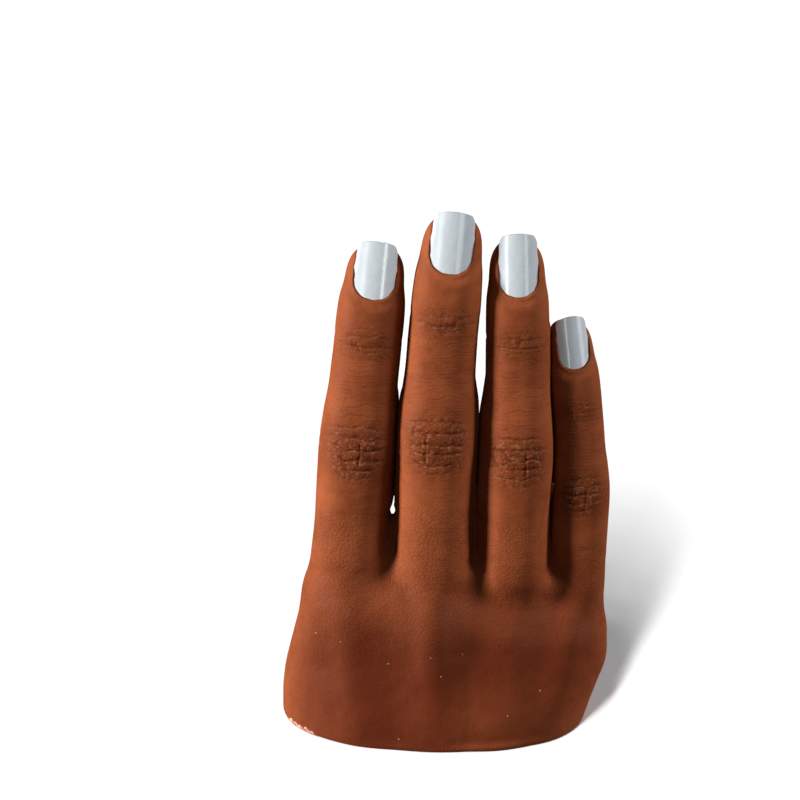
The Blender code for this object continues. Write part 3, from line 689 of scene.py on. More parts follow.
def patch_of(finger, x, h, joint, reach, height):
    """1 over the middle of a joint's wrinkled patch, fading to 0 at its edge."""
    across, along = np.abs(x) / (reach * finger.width), np.abs(h - joint) / (height * finger.width)
    return np.exp(-(across**PATCH_POWER) - along**PATCH_POWER)


def skin_relief(finger, local, dorsal, palmar):
    """How far the skin of a finger above its root stands out, with its crease and patch masks."""
    w = finger.width
    x, h = local[..., 0], local[..., 2]
    x = x - finger.bow * np.sin(np.pi * np.clip(h / length_of(finger), 0, 1))
    seed = 100 * (FINGERS.index(finger) + 1)
    middle, tip = height_of(finger, "middle"), height_of(finger, "distal")
    seam = seam_height(finger)

    def grain(size, offset, across=1, along=1):
        return noise(local * np.array([across, across, along]), size * w, seed + offset)

    big, big_mark = fold_relief(finger, x, h, local, middle, MIDDLE_FOLDS, seed)
    small, small_mark = fold_relief(finger, x, h, local, tip, TIP_FOLDS, seed + 20)
    tip_patch = 0.5 * patch_of(finger, x, h, tip, 0.38, 0.22)
    patch = np.maximum(patch_of(finger, x, h, middle, 0.40, 0.38), tip_patch)
    furrow = hump(x - (FURROWS[finger.name] + 0.02 * grain(0.15, 40)) * w, 0.016 * w)
    starts = ease(middle - 0.26 * w, middle - 0.16 * w, h)
    furrow = furrow * (starts * (1 - ease(middle + 0.08 * w, middle + 0.17 * w, h)))
    pads = patch * (0.006 * grain(0.07, 50, along=1.5) + 0.009 * grain(0.16, 51)) * w
    crinkle = hump(grain(0.085, 55, across=0.55), 0.16) * (0.5 + 0.5 * grain(0.2, 56))
    crinkle = crinkle + 0.6 * hump(grain(0.075, 57, across=1.3, along=0.8), 0.13)
    crinkle = crinkle * ease(0.08, 0.55, patch)
    rings = RING_RISE_SHARE * w * grain(0.055, 60, across=0.3) * (1 - patch)
    furrows = FURROW_DEPTH_SHARE * w * furrow
    out = dorsal * (pads - big - small - furrows - CRINKLE_DEPTH_SHARE * w * crinkle + rings)
    mark = dorsal * np.maximum(np.maximum(big_mark, small_mark), np.maximum(0.8 * furrow, 0.42 * crinkle))
    for joint, offset, depth in PALM_SIDE_CREASES:
        line = height_of(finger, joint) + offset * w + 0.02 * w * grain(0.2, 70)
        crease = hump(h - line, 0.03 * w)
        out = out - palmar * depth * w * crease
        mark = np.maximum(mark, palmar * 0.8 * crease)
    out = out + 0.004 * w * grain(0.35, 80)
    fade = ease(seam + SEAM_FADE_ABOVE[0], seam + SEAM_FADE_ABOVE[1], h)
    return out * fade, mark * fade, patch * dorsal * fade


# The nail's own frame: its origin on the plate's outer face at the cuticle, x across and z along
NailFrame = namedtuple("NailFrame", "origin turn half_width radius")


def nail_frame(finger):
    """Where a nail lies in its finger's own frame, turned to follow the finger and pitched up at its tip."""
    tip = height_of(finger, "distal")
    height = CUTICLE_SHARE * finger.distal
    along = np.array([tip + height, tip + height + 0.3 * MM])
    _, back, _, aside, inward = section(finger, along)
    slope = math.atan2(aside[1] - aside[0], along[1] - along[0])
    turn = Matrix.Rotation(slope, 3, "Y") @ Matrix.Rotation(finger.roll, 3, "Z")
    lift = turn @ Vector((0, NAIL_DEPTH_UNDER_FOLD - back[0], 0))
    turn = turn @ Matrix.Rotation(-NAIL_PITCH, 3, "X")
    origin = np.array([aside[0], inward[0], tip + height]) + np.array(lift)
    half_width = NAIL_WIDTH_SHARE * finger.width / 2
    return NailFrame(origin, np.array(turn), half_width, NAIL_RADIUS_SHARE * finger.width)


CUTICLE_CURVE_SHARE = 1.05
CUTICLE_SQUARENESS = 2.35
FOLD_LIFT = 0.42
FOLD_LIP = 0.10 * MM
BED_CLEARANCE = 0.2 * MM
# Spans of the distance from the nail's outline, over which the skin changes
WALL_SPAN = (-0.45 * MM, 0.40 * MM)
MASK_SPAN = (-0.6 * MM, 0.1 * MM)
THINNED_SPAN = (0.2 * MM, 3.2 * MM)
FADE_SPAN = (2.8 * MM, 3.8 * MM)


def cuticle_distance(plate, x, z):
    """About how far outside the nail's U-shaped outline a point lies."""
    curve = CUTICLE_CURVE_SHARE * plate.half_width
    up = np.maximum(curve - z, 0) / curve
    n = CUTICLE_SQUARENESS
    return ((np.abs(x) / plate.half_width) ** n + up**n) ** (1 / n) * plate.half_width - plate.half_width


def bed_the_nail(finger, local):
    """Sinks the nail's bed into the fingertip and rounds the folds beside it. Also gives a mask of the folds
    and one of a painted shade line round the nail.
    """
    plate = nail_frame(finger)
    placed = (local - plate.origin) @ plate.turn
    x, y, z = placed[..., 0], placed[..., 1], placed[..., 2]
    inner = np.minimum(np.abs(x), 0.97 * plate.radius)
    surface = plate.radius - np.sqrt(plate.radius**2 - inner**2)
    stands = surface - y
    distance = cuticle_distance(plate, x, z)
    distance = distance + 0.10 * MM * noise(local, 1.1 * MM, 900) + 0.05 * MM * noise(local, 0.5 * MM, 901)
    near = (y < plate.radius) * (1 - ease(0.86, 0.97, np.abs(x) / plate.radius))
    proximal = 1 - ease(0.2 * plate.half_width, 1.3 * plate.half_width, z)
    thinned = FOLD_LIFT + (1 - FOLD_LIFT) * ease(*THINNED_SPAN, distance)
    beside = np.where(stands > 0, stands * (1 + proximal * (thinned - 1)), stands)
    lip = FOLD_LIP * hump(distance - 0.65 * MM, 0.4 * MM)
    beneath = np.minimum(stands, -(NAIL_THICKNESS + BED_CLEARANCE))
    target = beneath + (beside + lip - beneath) * ease(*WALL_SPAN, distance)
    fade = near * (1 - ease(*FADE_SPAN, distance))
    shift = (stands - target) * fade
    moved = local + shift[..., None] * plate.turn[:, 1]
    outside = np.maximum(distance, 0)
    beside_mask = near * hump(outside - 0.2 * MM, 1.9 * MM) * ease(*MASK_SPAN, distance)
    # A painted shade line along the nail's outline, which the skin's creases carry
    groove_shade = near * hump(distance - 0.05 * MM, 0.28 * MM)
    return moved, beside_mask, groove_shade


# Fingers above their roots


def ring_heights(finger):
    """Heights of the rings, evenly spaced along the skin, with one ring before the seam."""
    low, high = seam_height(finger), skin_top(finger)
    fine = high - (high - low) * (1 - np.linspace(0, 1, 6000)) ** 1.5
    fine = fine[fine < high - 0.0004 * MM]
    half = section(finger, fine)[0]
    walked = np.concatenate([[0], np.cumsum(np.hypot(np.diff(fine), np.diff(half)))])
    count = int(walked[-1] / RING_STEP)
    heights = np.interp(np.linspace(0, walked[-1], count), walked, fine)
    return np.concatenate([[low - (heights[1] - heights[0])], heights])


def finger_grid(finger):
    """Rings of the finger's skin in its own frame, with masks for creases, patches and nail folds."""
    heights = ring_heights(finger)
    half, back, pad, aside, inward = section(finger, heights)
    angle = 2 * np.pi * np.arange(COLUMN_COUNT) / COLUMN_COUNT
    power = 2 / FINGER_SQUARENESS
    c = np.sign(np.cos(angle)) * np.abs(np.cos(angle)) ** power
    s = np.sign(np.sin(angle)) * np.abs(np.sin(angle)) ** power
    x = half[:, None] * c
    y = np.where(s > 0, pad[:, None], back[:, None]) * s

    def placed(x, y):
        level = np.broadcast_to(heights[:, None], x.shape)
        return np.stack([x + aside[:, None], y + inward[:, None], level], axis=-1)

    world = to_world(finger, placed(x, y))
    x = x + c * np.where(c > 0, crowding(finger, world, 1), crowding(finger, world, -1))
    turned_x = math.cos(finger.roll) * x - math.sin(finger.roll) * y
    turned_y = math.sin(finger.roll) * x + math.cos(finger.roll) * y
    grid = placed(turned_x, turned_y)
    dorsal = np.broadcast_to(ease(0.05, 0.6, -s), x.shape)
    palmar = np.broadcast_to(ease(-0.25, 0.35, s), x.shape)
    out, crease, patch = skin_relief(finger, grid, dorsal, palmar)
    grid = grid + out[..., None] * grid_normals(grid)
    grid = to_local(finger, keep_apart(finger, to_world(finger, grid)))
    grid, fold, groove_shade = bed_the_nail(finger, grid)
    # The line round the nail takes the creases' painted shade
    crease = np.maximum(crease, groove_shade)
    return heights, grid, np.stack([crease, patch, fold], axis=-1)


def grid_normals(grid):
    """Outward normals of rings that run anticlockwise and upwards."""
    around = np.roll(grid, -1, axis=1) - np.roll(grid, 1, axis=1)
    up = np.gradient(grid, axis=0)
    return unit(np.cross(around, up))


def tube(grid):
    """Points and faces of a closed tube from rings. A cap is a fan, and the top one's faces can be skin."""
    rings, columns = grid.shape[:2]
    points = np.concatenate([grid.reshape(-1, 3), grid[:1].mean(axis=1), grid[-1:].mean(axis=1)])
    index = np.arange(rings * columns).reshape(rings, columns)
    right = np.roll(index, -1, axis=1)
    quads = np.stack([index[:-1], right[:-1], right[1:], index[1:]], axis=-1).reshape(-1, 4)
    bottom, top = rings * columns, rings * columns + 1
    low_cap = [(right[0, k], index[0, k], bottom) for k in range(columns)]
    high_cap = [(index[-1, k], right[-1, k], top) for k in range(columns)]
    return points, quads.tolist(), low_cap, high_cap


# Meshes and materials


def place_object(name, data):
    made = bpy.data.objects.new(name, data)
    bpy.context.scene.collection.objects.link(made)
    return made


def give_vectors(mesh, label, values):
    """A vector for each point, which a material can read."""
    attribute = mesh.attributes.new(label, "FLOAT_VECTOR", "POINT")
    attribute.data.foreach_set("vector", np.ascontiguousarray(values, np.float32).ravel())


def make_piece(name, points, skin, caps, normals, material, vectors=None):
    """A closed mesh. Skin faces take the given normals, and caps are flat."""
    mesh = bpy.data.meshes.new(name)
    mesh.from_pydata(points.tolist(), [], list(skin) + list(caps))
    mesh.materials.append(material)
    for label, values in (vectors or {}).items():
        give_vectors(mesh, label, values)
    mesh.shade_smooth()
    corner = np.empty(len(mesh.loops), int)
    mesh.loops.foreach_get("vertex_index", corner)
    sizes = np.empty(len(mesh.polygons), int)
    mesh.polygons.foreach_get("loop_total", sizes)
    flat = np.empty(3 * len(mesh.polygons))
    mesh.polygons.foreach_get("normal", flat)
    face = np.repeat(np.arange(len(sizes)), sizes)
    given = np.where((face < len(skin))[:, None], normals[corner], flat.reshape(-1, 3)[face])
    mesh.normals_split_custom_set(given.tolist())
    return place_object(name, mesh)


def feed(made, inputs):
    """Sets a node's inputs, given as values or as sockets to link."""
    for label, value in inputs.items():
        socket = made.inputs[label]
        if isinstance(value, bpy.types.NodeSocket):
            made.id_data.links.new(value, socket)
        else:
            socket.default_value = value
    return made


def node(tree, kind, inputs=None, **settings):
    """A new shader node, with its settings and inputs."""
    made = tree.nodes.new(kind)
    for label, value in settings.items():
        setattr(made, label, value)
    return feed(made, inputs or {})


# Each of these adds its node to the tree of the socket that it starts from


def maths(operation, a, b=0.0, clamp=False):
    return node(a.id_data, "ShaderNodeMath", {0: a, 1: b}, operation=operation, use_clamp=clamp).outputs[0]


def times(a, b):
    return maths("MULTIPLY", a, b)


def plus(a, b, clamp=False):
    return maths("ADD", a, b, clamp)


def split(vector):
    return node(vector.id_data, "ShaderNodeSeparateXYZ", {0: vector}).outputs


def ramp(value, low, high, to_low=0.0, to_high=1.0):
    """A value eased from one range to another."""
    inputs = {"Value": value, "From Min": low, "From Max": high, "To Min": to_low, "To Max": to_high}
    made = node(value.id_data, "ShaderNodeMapRange", inputs, interpolation_type="SMOOTHSTEP")
    return made.outputs["Result"]


def mix(share, a, b):
    return node(share.id_data, "ShaderNodeMix", {0: share, 6: a, 7: b}, data_type="RGBA").outputs[2]


def noise_at(place, size, detail=3.0, roughness=0.55):
    """Noise from 0 to 1 with bumps of a size, in the units of the place."""
    inputs = {"Vector": place, "Scale": 1 / size, "Detail": detail, "Roughness": roughness}
    return node(place.id_data, "ShaderNodeTexNoise", inputs).outputs[0]


def cells_at(place, size, feature):
    """The distance that a cell pattern gives: to the cell's edge, or with F1 to its middle."""
    inputs = {"Vector": place, "Scale": 1 / size}
    return node(place.id_data, "ShaderNodeTexVoronoi", inputs, feature=feature).outputs["Distance"]


def stretched(place, across, along):
    """A place scaled across a finger and along it, for marks that run round the finger."""
    inputs = {"Vector": place, "Scale": (across, across, along)}
    return node(place.id_data, "ShaderNodeMapping", inputs).outputs[0]


def bumped(height, distance=MM):
    return node(height.id_data, "ShaderNodeBump", {"Height": height, "Distance": distance}).outputs[0]


def attribute(tree, name):
    return node(tree, "ShaderNodeAttribute", attribute_name=name).outputs["Vector"]


def new_material(name):
    made = bpy.data.materials.new(name)
    made.use_nodes = True
    return made, made.node_tree, made.node_tree.nodes["Principled BSDF"]


SKIN_DARK = (0.178, 0.040, 0.0122, 1)
SKIN_LIGHT = (0.288, 0.072, 0.0235, 1)
# A darker red for low on the hand, partly pigment and partly painted shade
SKIN_BASE_RED_AND_SHADE = (0.104, 0.0175, 0.0050, 1)
SKIN_PATCH = (0.096, 0.0175, 0.0028, 1)
# Painted shade for creases, leathery lines, fine rings and the line round each nail
SKIN_CREASE_SHADE = (0.056, 0.0098, 0.0020, 1)
SKIN_NAIL_FOLD = (0.290, 0.080, 0.024, 1)
SKIN_FLECK = (0.62, 0.38, 0.26, 1)
# Painted highlight along the lips of the creases
SKIN_LIP_HIGHLIGHT = (0.40, 0.17, 0.095, 1)


RING_SPACING = 1.05  # between the fine rings round a finger, in millimetres


def skin_material():
    """Dark brown silicone, mottled, with painted shade in its creases, painted highlights on their lips and a
    leathery grain.
    """
    made, tree, shader = new_material("silicone_skin")
    names = ("rest_mm", "grain_mm", "masks", "extras")
    rest, grain, masks, extras = (attribute(tree, name) for name in names)
    crease, patch, fold = split(masks)
    stripes, leather, base = split(extras)

    # Mottling, and the darker red low on the hand, partly the silicone's own red and partly painted shade
    # where the skin faces front
    broad = ramp(noise_at(rest, 13.0, 2.0), 0.32, 0.68)
    middle = ramp(noise_at(rest, 3.0, 4.0, 0.6), 0.3, 0.7)
    fine = noise_at(rest, 0.7, 3.0, 0.65)
    share = plus(plus(times(broad, 0.5), times(middle, 0.34)), times(fine, 0.22), clamp=True)
    colour = mix(share, SKIN_DARK, SKIN_LIGHT)
    colour = mix(base, colour, SKIN_BASE_RED_AND_SHADE)

    # Wrinkled patches, nail folds, painted shade in the leathery lines and creases, and painted highlights on
    # the creases' lips
    lines = ramp(cells_at(stretched(grain, 0.9, 1.15), 1.1, "DISTANCE_TO_EDGE"), 0.02, 0.16, 1.0, 0.0)
    colour = mix(times(patch, ramp(middle, 0.0, 1.0, 0.35, 0.75)), colour, SKIN_PATCH)
    colour = mix(times(fold, ramp(middle, 0.0, 1.0, 0.15, 0.5)), colour, SKIN_NAIL_FOLD)
    line_share = plus(times(lines, times(patch, 0.30)), times(lines, times(leather, 0.05)))
    colour = mix(line_share, colour, SKIN_CREASE_SHADE)
    colour = mix(times(crease, 0.62), colour, SKIN_CREASE_SHADE)
    # Painted highlights along the lips of the creases, in the patches
    lip = times(ramp(crease, 0.10, 0.26), ramp(crease, 0.26, 0.50, 1.0, 0.0))
    lip = times(lip, ramp(noise_at(rest, 1.1, 2.0), 0.46, 0.62, 0.0, 0.50))
    colour = mix(times(lip, patch), colour, SKIN_LIP_HIGHLIGHT)

    # Fine rings round the fingers, which sway and break off, darkened with painted shade
    sway = noise_at(stretched(grain, 0.13, 0.30), 1.0, 2.0)
    phase = plus(maths("DIVIDE", split(grain)[2], RING_SPACING), times(sway, 5.0))
    rings = ramp(maths("PINGPONG", phase, 0.5), 0.04, 0.24, 1.0, 0.0)
    broken = ramp(noise_at(stretched(grain, 0.25, 0.9), 1.3, 2.0), 0.38, 0.62)
    rings = times(times(rings, broken), stripes)
    colour = mix(times(rings, 0.20), colour, SKIN_CREASE_SHADE)

    # Pale dry flecks
    speck = ramp(cells_at(rest, 1.4, "F1"), 0.07, 0.15, 1.0, 0.0)
    where = ramp(noise_at(rest, 2.3, 1.0), 0.56, 0.62)
    dry = plus(times(patch, 0.9), times(fold, 0.7), clamp=True)
    flecks = times(times(speck, where), dry)
    colour = mix(times(flecks, 0.6), colour, SKIN_FLECK)

    height = plus(plus(times(fine, 0.045), times(lines, times(leather, -0.050))), times(rings, -0.045))
    look = {
        "Base Color": colour,
        "Roughness": ramp(middle, 0.0, 1.0, 0.56, 0.70),
        "Specular IOR Level": 0.08,
        "Subsurface Weight": 0.12,
        "Subsurface Radius": (1.0, 0.30, 0.14),
        "Subsurface Scale": 1.1 * MM,
        "Normal": bumped(height),
    }
    feed(shader, look)
    return made


NAIL_COLOUR = (0.435, 0.478, 0.507, 1)
NAIL_SHADE = (0.395, 0.440, 0.473, 1)
# A painted highlight along the free edge and a painted shade line just below it
NAIL_EDGE_HIGHLIGHT = (0.84, 0.85, 0.85, 1)
NAIL_EDGE_SHADE = (0.33, 0.37, 0.40, 1)
NAIL_SIDE = (0.52, 0.46, 0.47, 1)
HALF_NAIL = 7.0  # spreads the nail's half width over about as many millimetres, for even noise


def nail_material():
    """Pale blue-grey gloss varnish, with a painted highlight along the free edge and a painted shade line
    just below it.
    """
    made, tree, shader = new_material("nail_varnish")
    across, edge = split(attribute(tree, "nail_mm"))[:2]
    spread = node(tree, "ShaderNodeCombineXYZ", {0: times(across, HALF_NAIL), 1: edge}).outputs[0]
    colour = mix(ramp(noise_at(spread, 3.5, 2.0), 0.3, 0.7), NAIL_SHADE, NAIL_COLOUR)
    side = ramp(maths("ABSOLUTE", across), 0.86, 1.0)
    colour = mix(times(side, 0.6), colour, NAIL_SIDE)
    # A painted shade line just below the free edge, then a painted highlight along it
    line = times(ramp(edge, 0.30, 0.42), ramp(edge, 0.42, 0.62, 1.0, 0.0))
    colour = mix(times(line, 0.45), colour, NAIL_EDGE_SHADE)
    colour = mix(ramp(edge, 0.22, 0.34, 0.9, 0.0), colour, NAIL_EDGE_HIGHLIGHT)
    look = {
        "Base Color": colour,
        "Roughness": ramp(noise_at(spread, 1.6, 3.0, 0.6), 0.3, 0.7, 0.16, 0.28),
        "Coat Weight": 0.8,
        "Coat Roughness": 0.14,
        "Normal": bumped(times(noise_at(spread, 2.5, 1.0), 0.004)),
    }
    feed(shader, look)
    return made


def object_place(tree):
    return node(tree, "ShaderNodeTexCoord").outputs["Object"]


def chalky_material(name, dark, light, size):
    """A matt surface, clouded between two tones."""
    made, tree, shader = new_material(name)
    place = object_place(tree)
    tone = ramp(noise_at(place, size, 3.0), 0.4, 0.6)
    normal = bumped(noise_at(place, 0.4 * size), 0.1 * MM)
    feed(shader, {"Base Color": mix(tone, dark, light), "Roughness": 0.65, "Normal": normal})
    return made


def armature_material():
    """Natural moulded plastic with a fine matt skin."""
    made, tree, shader = new_material("moulded_plastic")
    place = object_place(tree)
    tone = noise_at(place, 6 * MM, 4.0)
    colour = mix(ramp(tone, 0.35, 0.65), (0.66, 0.63, 0.56, 1), (0.76, 0.74, 0.68, 1))
    normal = bumped(noise_at(place, 0.4 * MM), 0.02 * MM)
    feed(shader, {"Base Color": colour, "Roughness": ramp(tone, 0.3, 0.7, 0.48, 0.62), "Normal": normal})
    return made


def steel_material():
    """Drawn steel pins with fine lengthwise lines."""
    made, tree, shader = new_material("drawn_steel")
    lines = node(tree, "ShaderNodeMapping", {"Vector": object_place(tree), "Scale": (0.1, 1, 1)}).outputs[0]
    tone = noise_at(lines, 0.3 * MM, 3.0)
    colour = mix(tone, (0.50, 0.50, 0.52, 1), (0.66, 0.66, 0.68, 1))
    feed(shader, {"Base Color": colour, "Roughness": ramp(tone, 0.3, 0.7, 0.24, 0.38), "Metallic": 1})
    return made


SILICONE = skin_material()
VARNISH = nail_material()
TORN_EDGE = chalky_material("torn_edge", (0.36, 0.085, 0.045, 1), (0.72, 0.42, 0.33, 1), 0.9 * MM)
DUST = chalky_material("white_dust", (0.50, 0.36, 0.26, 1), (0.78, 0.66, 0.55, 1), 0.3 * MM)
PLASTIC = armature_material()
STEEL = steel_material()


# Building the skin


def mask_vectors(points, local, creases, stripes, leather, base):
    """What the skin's material reads, at each point."""
    return {
        "rest_mm": points / MM,
        "grain_mm": local / MM,
        "masks": creases,
        "extras": np.stack([stripes, leather, base], axis=1),
    }


def finger_stripes(finger, h):
    """How strongly fine rings mark the skin at each height."""
    w = finger.width
    middle, tip = height_of(finger, "middle"), height_of(finger, "distal")
    start = ease(0.25 * w, 0.9 * w, h)
    above = ease(middle + 0.25 * w, middle + 0.45 * w, h) * (1 - ease(tip - 0.1 * w, tip + 0.4 * w, h))
    below = 1 - ease(middle - 0.45 * w, middle - 0.25 * w, h)
    return start * (0.35 * below + 0.9 * above)


def build_finger_skin(finger):
    """Two closed pieces, one over the middle joint and one over the tip joint."""
    heights, grid, masks = finger_grid(finger)
    local = grid.reshape(-1, 3)
    points = to_world(finger, local).reshape(grid.shape)
    normals = grid_normals(points)
    parting_row = int(np.argmin(np.abs(heights - split_height(finger))))
    bodies = [finger.name + "_" + link for link in ("proximal", "middle", "distal")]
    parts = (
        ("_middle_joint_flesh", 1, parting_row, "middle", MIDDLE_BEND_SHARE, bodies[0:2]),
        ("_tip_flesh", parting_row, len(heights) - 1, "distal", TIP_BEND_SHARE, bodies[1:3]),
    )
    for label, low, high, joint, bend, (before, after) in parts:
        chosen = slice(low, high + 1)
        piece_points, skin, low_cap, high_cap = tube(points[chosen])
        ends = piece_points[-2:]
        piece_local = to_local(finger, piece_points)
        caps = low_cap + high_cap if label == "_middle_joint_flesh" else low_cap
        skin = skin if caps is not low_cap else skin + high_cap
        tip_normal = np.stack([-finger.turn[:, 2], finger.turn[:, 2]])
        piece_normals = np.concatenate([normals[chosen].reshape(-1, 3), tip_normal])
        piece_masks = np.concatenate([masks[chosen].reshape(-1, 3), np.zeros((len(ends), 3))])
        stripes = finger_stripes(finger, piece_local[:, 2])
        leather = 0.25 + 0.6 * piece_masks[:, 1] - 0.2 * piece_masks[:, 2]
        vectors = mask_vectors(piece_points, piece_local, piece_masks, stripes, leather, 0 * stripes)
        piece = make_piece(finger.name + label, piece_points, skin, caps, piece_normals, SILICONE, vectors)
        centre = height_of(finger, joint)
        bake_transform(piece)
    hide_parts(finger.name + "_middle_sleeve", finger.name + "_middle_skin")
    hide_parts(finger.name + "_tip_sleeve", finger.name + "_tip_skin")


BONE_WIDTH = 4.2 * MM
BONE_RELIEFS = {"index": 0.7 * MM, "middle": 1.0 * MM, "ring": -0.25 * MM, "little": 0.35 * MM}
HOLLOW = 0.5 * MM
ULNAR_FALL = 1.3 * MM
ULNAR_FALL_STARTS = (-3 * MM, 14 * MM)
ULNAR_FALL_ENDS = (22 * MM, 36 * MM)

PalmCrease = namedtuple("PalmCrease", "x_start x_end z_start z_end power depth")
PALM_CREASES = (
    PalmCrease(41 * MM, -8 * MM, 23 * MM, 37 * MM, 1.7, 0.55 * MM),
    PalmCrease(-38 * MM, 22 * MM, 25 * MM, 7 * MM, 1.3, 0.50 * MM),
    PalmCrease(-38 * MM, -8 * MM, 22 * MM, -1 * MM, 1.8, 0.55 * MM),
)


CREASE_WOBBLE = 0.7 * MM
CREASE_WIDTH = 0.75 * MM
# Creases round the finger roots on the palm side, measured from the webs
ROOT_CREASE_OFFSETS = (1.2 * MM, 3.4 * MM)
ROOT_CREASE_WIDTH = 0.55 * MM
ROOT_CREASE_DEPTH = 0.40 * MM


def palm_creases(points, palmar):
    """How strongly each point lies in a crease on the palm side, and how deep."""
    depth = np.zeros(len(points))
    mark = np.zeros(len(points))
    wobble = CREASE_WOBBLE * noise(points, 9 * MM, 31)
    for crease in PALM_CREASES:
        t = (points[:, 0] - crease.x_start) / (crease.x_end - crease.x_start)
        line = between(crease.z_start, crease.z_end, np.clip(t, 0, 1) ** crease.power)
        window = ease(-0.05, 0.08, t) * (1 - ease(0.85, 1.05, t))
        near = hump(points[:, 2] - line - wobble, CREASE_WIDTH) * window * palmar
        depth = np.maximum(depth, crease.depth * near)
        mark = np.maximum(mark, near)
    for finger in FINGERS:
        local = to_local(finger, points)
        for offset in ROOT_CREASE_OFFSETS:
            line = web_height(finger.origin[0]) - finger.origin[2] + offset + wobble
            near = hump(local[:, 2] - line, ROOT_CREASE_WIDTH) * palmar
            depth = np.maximum(depth, ROOT_CREASE_DEPTH * near)
            mark = np.maximum(mark, 0.8 * near)
    return depth, mark


def metacarpals(points):
    """Ridges over the bones of the hand's back and the hollows between them."""
    x, z = points[:, 0], points[:, 2]
    share = np.clip(z / web_height(x), 0, 1)
    height = np.full(len(x), -HOLLOW)
    for finger in FINGERS:
        height = height + BONE_RELIEFS[finger.name] * hump(x - bone_line(finger, share), BONE_WIDTH)
    height = height - ULNAR_FALL * ease(*ULNAR_FALL_STARTS, x) * (1 - ease(*ULNAR_FALL_ENDS, x))
    return height * (0.3 + 0.7 * ease(0.1, 0.75, share)) * (1 - ease(0.95, 1.15, z / web_height(x)))


LUMP_RISE = 0.16 * MM
WRINKLE_RISE = 0.025 * MM
KNUCKLE_RISE = 0.12 * MM
CUT_FADE = (0.5 * MM, 3 * MM)  # the cut edge at the base stays smooth


def hand_relief(points, normals):
    """How far the palm's skin stands out, and its crease and patch masks."""
    palmar = ease(0.25, 0.7, normals[:, 1])
    dorsal = ease(0.1, 0.6, -normals[:, 1])
    depth, mark = palm_creases(points, palmar)
    seam_fade = np.ones(len(points))
    knuckle_patch = np.zeros(len(points))
    for finger in FINGERS:
        x, h = to_local(finger, points)[:, [0, 2]].T
        seam = seam_height(finger)
        seam_fade *= 1 - ease(seam + SEAM_FADE_BELOW[0], seam + SEAM_FADE_BELOW[1], h)
        reach = 0.42 * finger.width
        spot = np.exp(-((x / reach) ** 2) - ((h + 1 * MM) / reach) ** 2)
        knuckle_patch = np.maximum(knuckle_patch, spot * dorsal)
    lumps = LUMP_RISE * noise(points, 8 * MM, 11) + 0.07 * MM * noise(points, 3.2 * MM, 12)
    lumps = lumps + metacarpals(points) * dorsal
    wrinkles = WRINKLE_RISE * noise(points, 1.3 * MM, 13) * dorsal
    above_cut = ease(*CUT_FADE, points[:, 2]) * (points[:, 2] > 1.5 * MM)
    out = (lumps + wrinkles) * above_cut - depth + KNUCKLE_RISE * knuckle_patch
    return out * seam_fade, mark * seam_fade, knuckle_patch * 0.3


def parting():
    """A point and the upward normal of the plane between the palm and the roots of the fingers."""
    first, last = FINGERS[0].origin, FINGERS[3].origin
    along = unit(last - first)
    normal = unit(np.cross(along, np.array([0, 1, 0])))
    return first - np.array([0, 0, PARTING_DROP]), normal


NET_MARGIN = 2 * MM
SEAM_MARGIN = 4 * MM


def build_hand_skin():
    """The palm, and a root for each finger that reaches to its seam."""
    low = np.array(CAD_BOX[0]) - NET_MARGIN
    high = np.array(CAD_BOX[1]) + NET_MARGIN
    high[2] = max(to_world(f, np.array([0, 0, seam_height(f)]))[2] for f in FINGERS) + SEAM_MARGIN
    low[2] = -NET_MARGIN
    points, quads = surface_net(hand_distance, low, high, PALM_CELL)
    points = settle(hand_distance, points, quads)
    triangles = halves(quads)
    normals = vertex_normals(points, triangles)
    out, crease, patch = hand_relief(points, normals)
    points = points + out[:, None] * normals
    normals = vertex_normals(points, triangles)
    rows = np.concatenate([points, normals, crease[:, None], patch[:, None]], axis=1)
    whole = CutMesh(rows, triangles, np.zeros(len(triangles), bool))
    for finger in FINGERS:
        nearest = nearest_finger(whole.rows[:, :3], finger)
        height = to_local(finger, whole.rows[:, :3])[:, 2] - seam_height(finger)
        whole = clip(whole, np.where(nearest < 0.5 * MM, height, -1 * MM))
    start, normal = parting()
    above = (whole.rows[:, :3] - start) @ normal
    palm = clip(whole, above)
    build_skin_piece("palm_flesh", palm, None)
    roots = clip(whole, -above)
    for finger in FINGERS:
        root = clip(roots, nearest_finger(roots.rows[:, :3], finger))
        build_skin_piece(finger.name + "_root_flesh", root, finger)
    return palm


# White dust on the back of the palm: place across, height and radius, in millimetres
SPECKS = (
    (-28.4, 41.0, 0.19), (-23.0, 33.5, 0.15), (-11.8, 22.5, 0.18), (1.2, 20.5, 0.13), (-1.2, 25.5, 0.12),
    (17.8, 9.5, 0.15), (25.9, 14.5, 0.16), (-9.4, 3.2, 0.15), (8.7, 44.0, 0.13),
)
CHIP_SIDES = 7
FLASH_FROM, FLASH_TO = 186.5 * DEGREE, 202 * DEGREE
FLASH_STEPS = 44
FLASH_HEIGHT = 1.2 * MM
FLASH_ROOT = -0.4 * MM  # how far inside the skin it starts
CHIP_CROWN = 0.35  # a chip's rise, as a share of its radius
CHIP_LIFT = 0.03 * MM
CHIP_ROOT = 0.10 * MM
PALM_MIDDLE = np.array([1.0, 1.0]) * MM
RIM_REACHES = (10 * MM, 60 * MM)
RIM_HALVINGS = 24


def closed_piece(name, points, faces, material):
    """A closed mesh with smooth outward normals."""
    triangles = np.array([[face[0], face[i], face[i + 1]] for face in faces for i in range(1, len(face) - 1)])
    a, b, c = (points[triangles[:, i]] for i in range(3))
    if np.sum(a * np.cross(b, c)) < 0:
        faces = [face[::-1] for face in faces]
        triangles = triangles[:, ::-1]
    return make_piece(name, points, faces, [], vertex_normals(points, triangles), material)


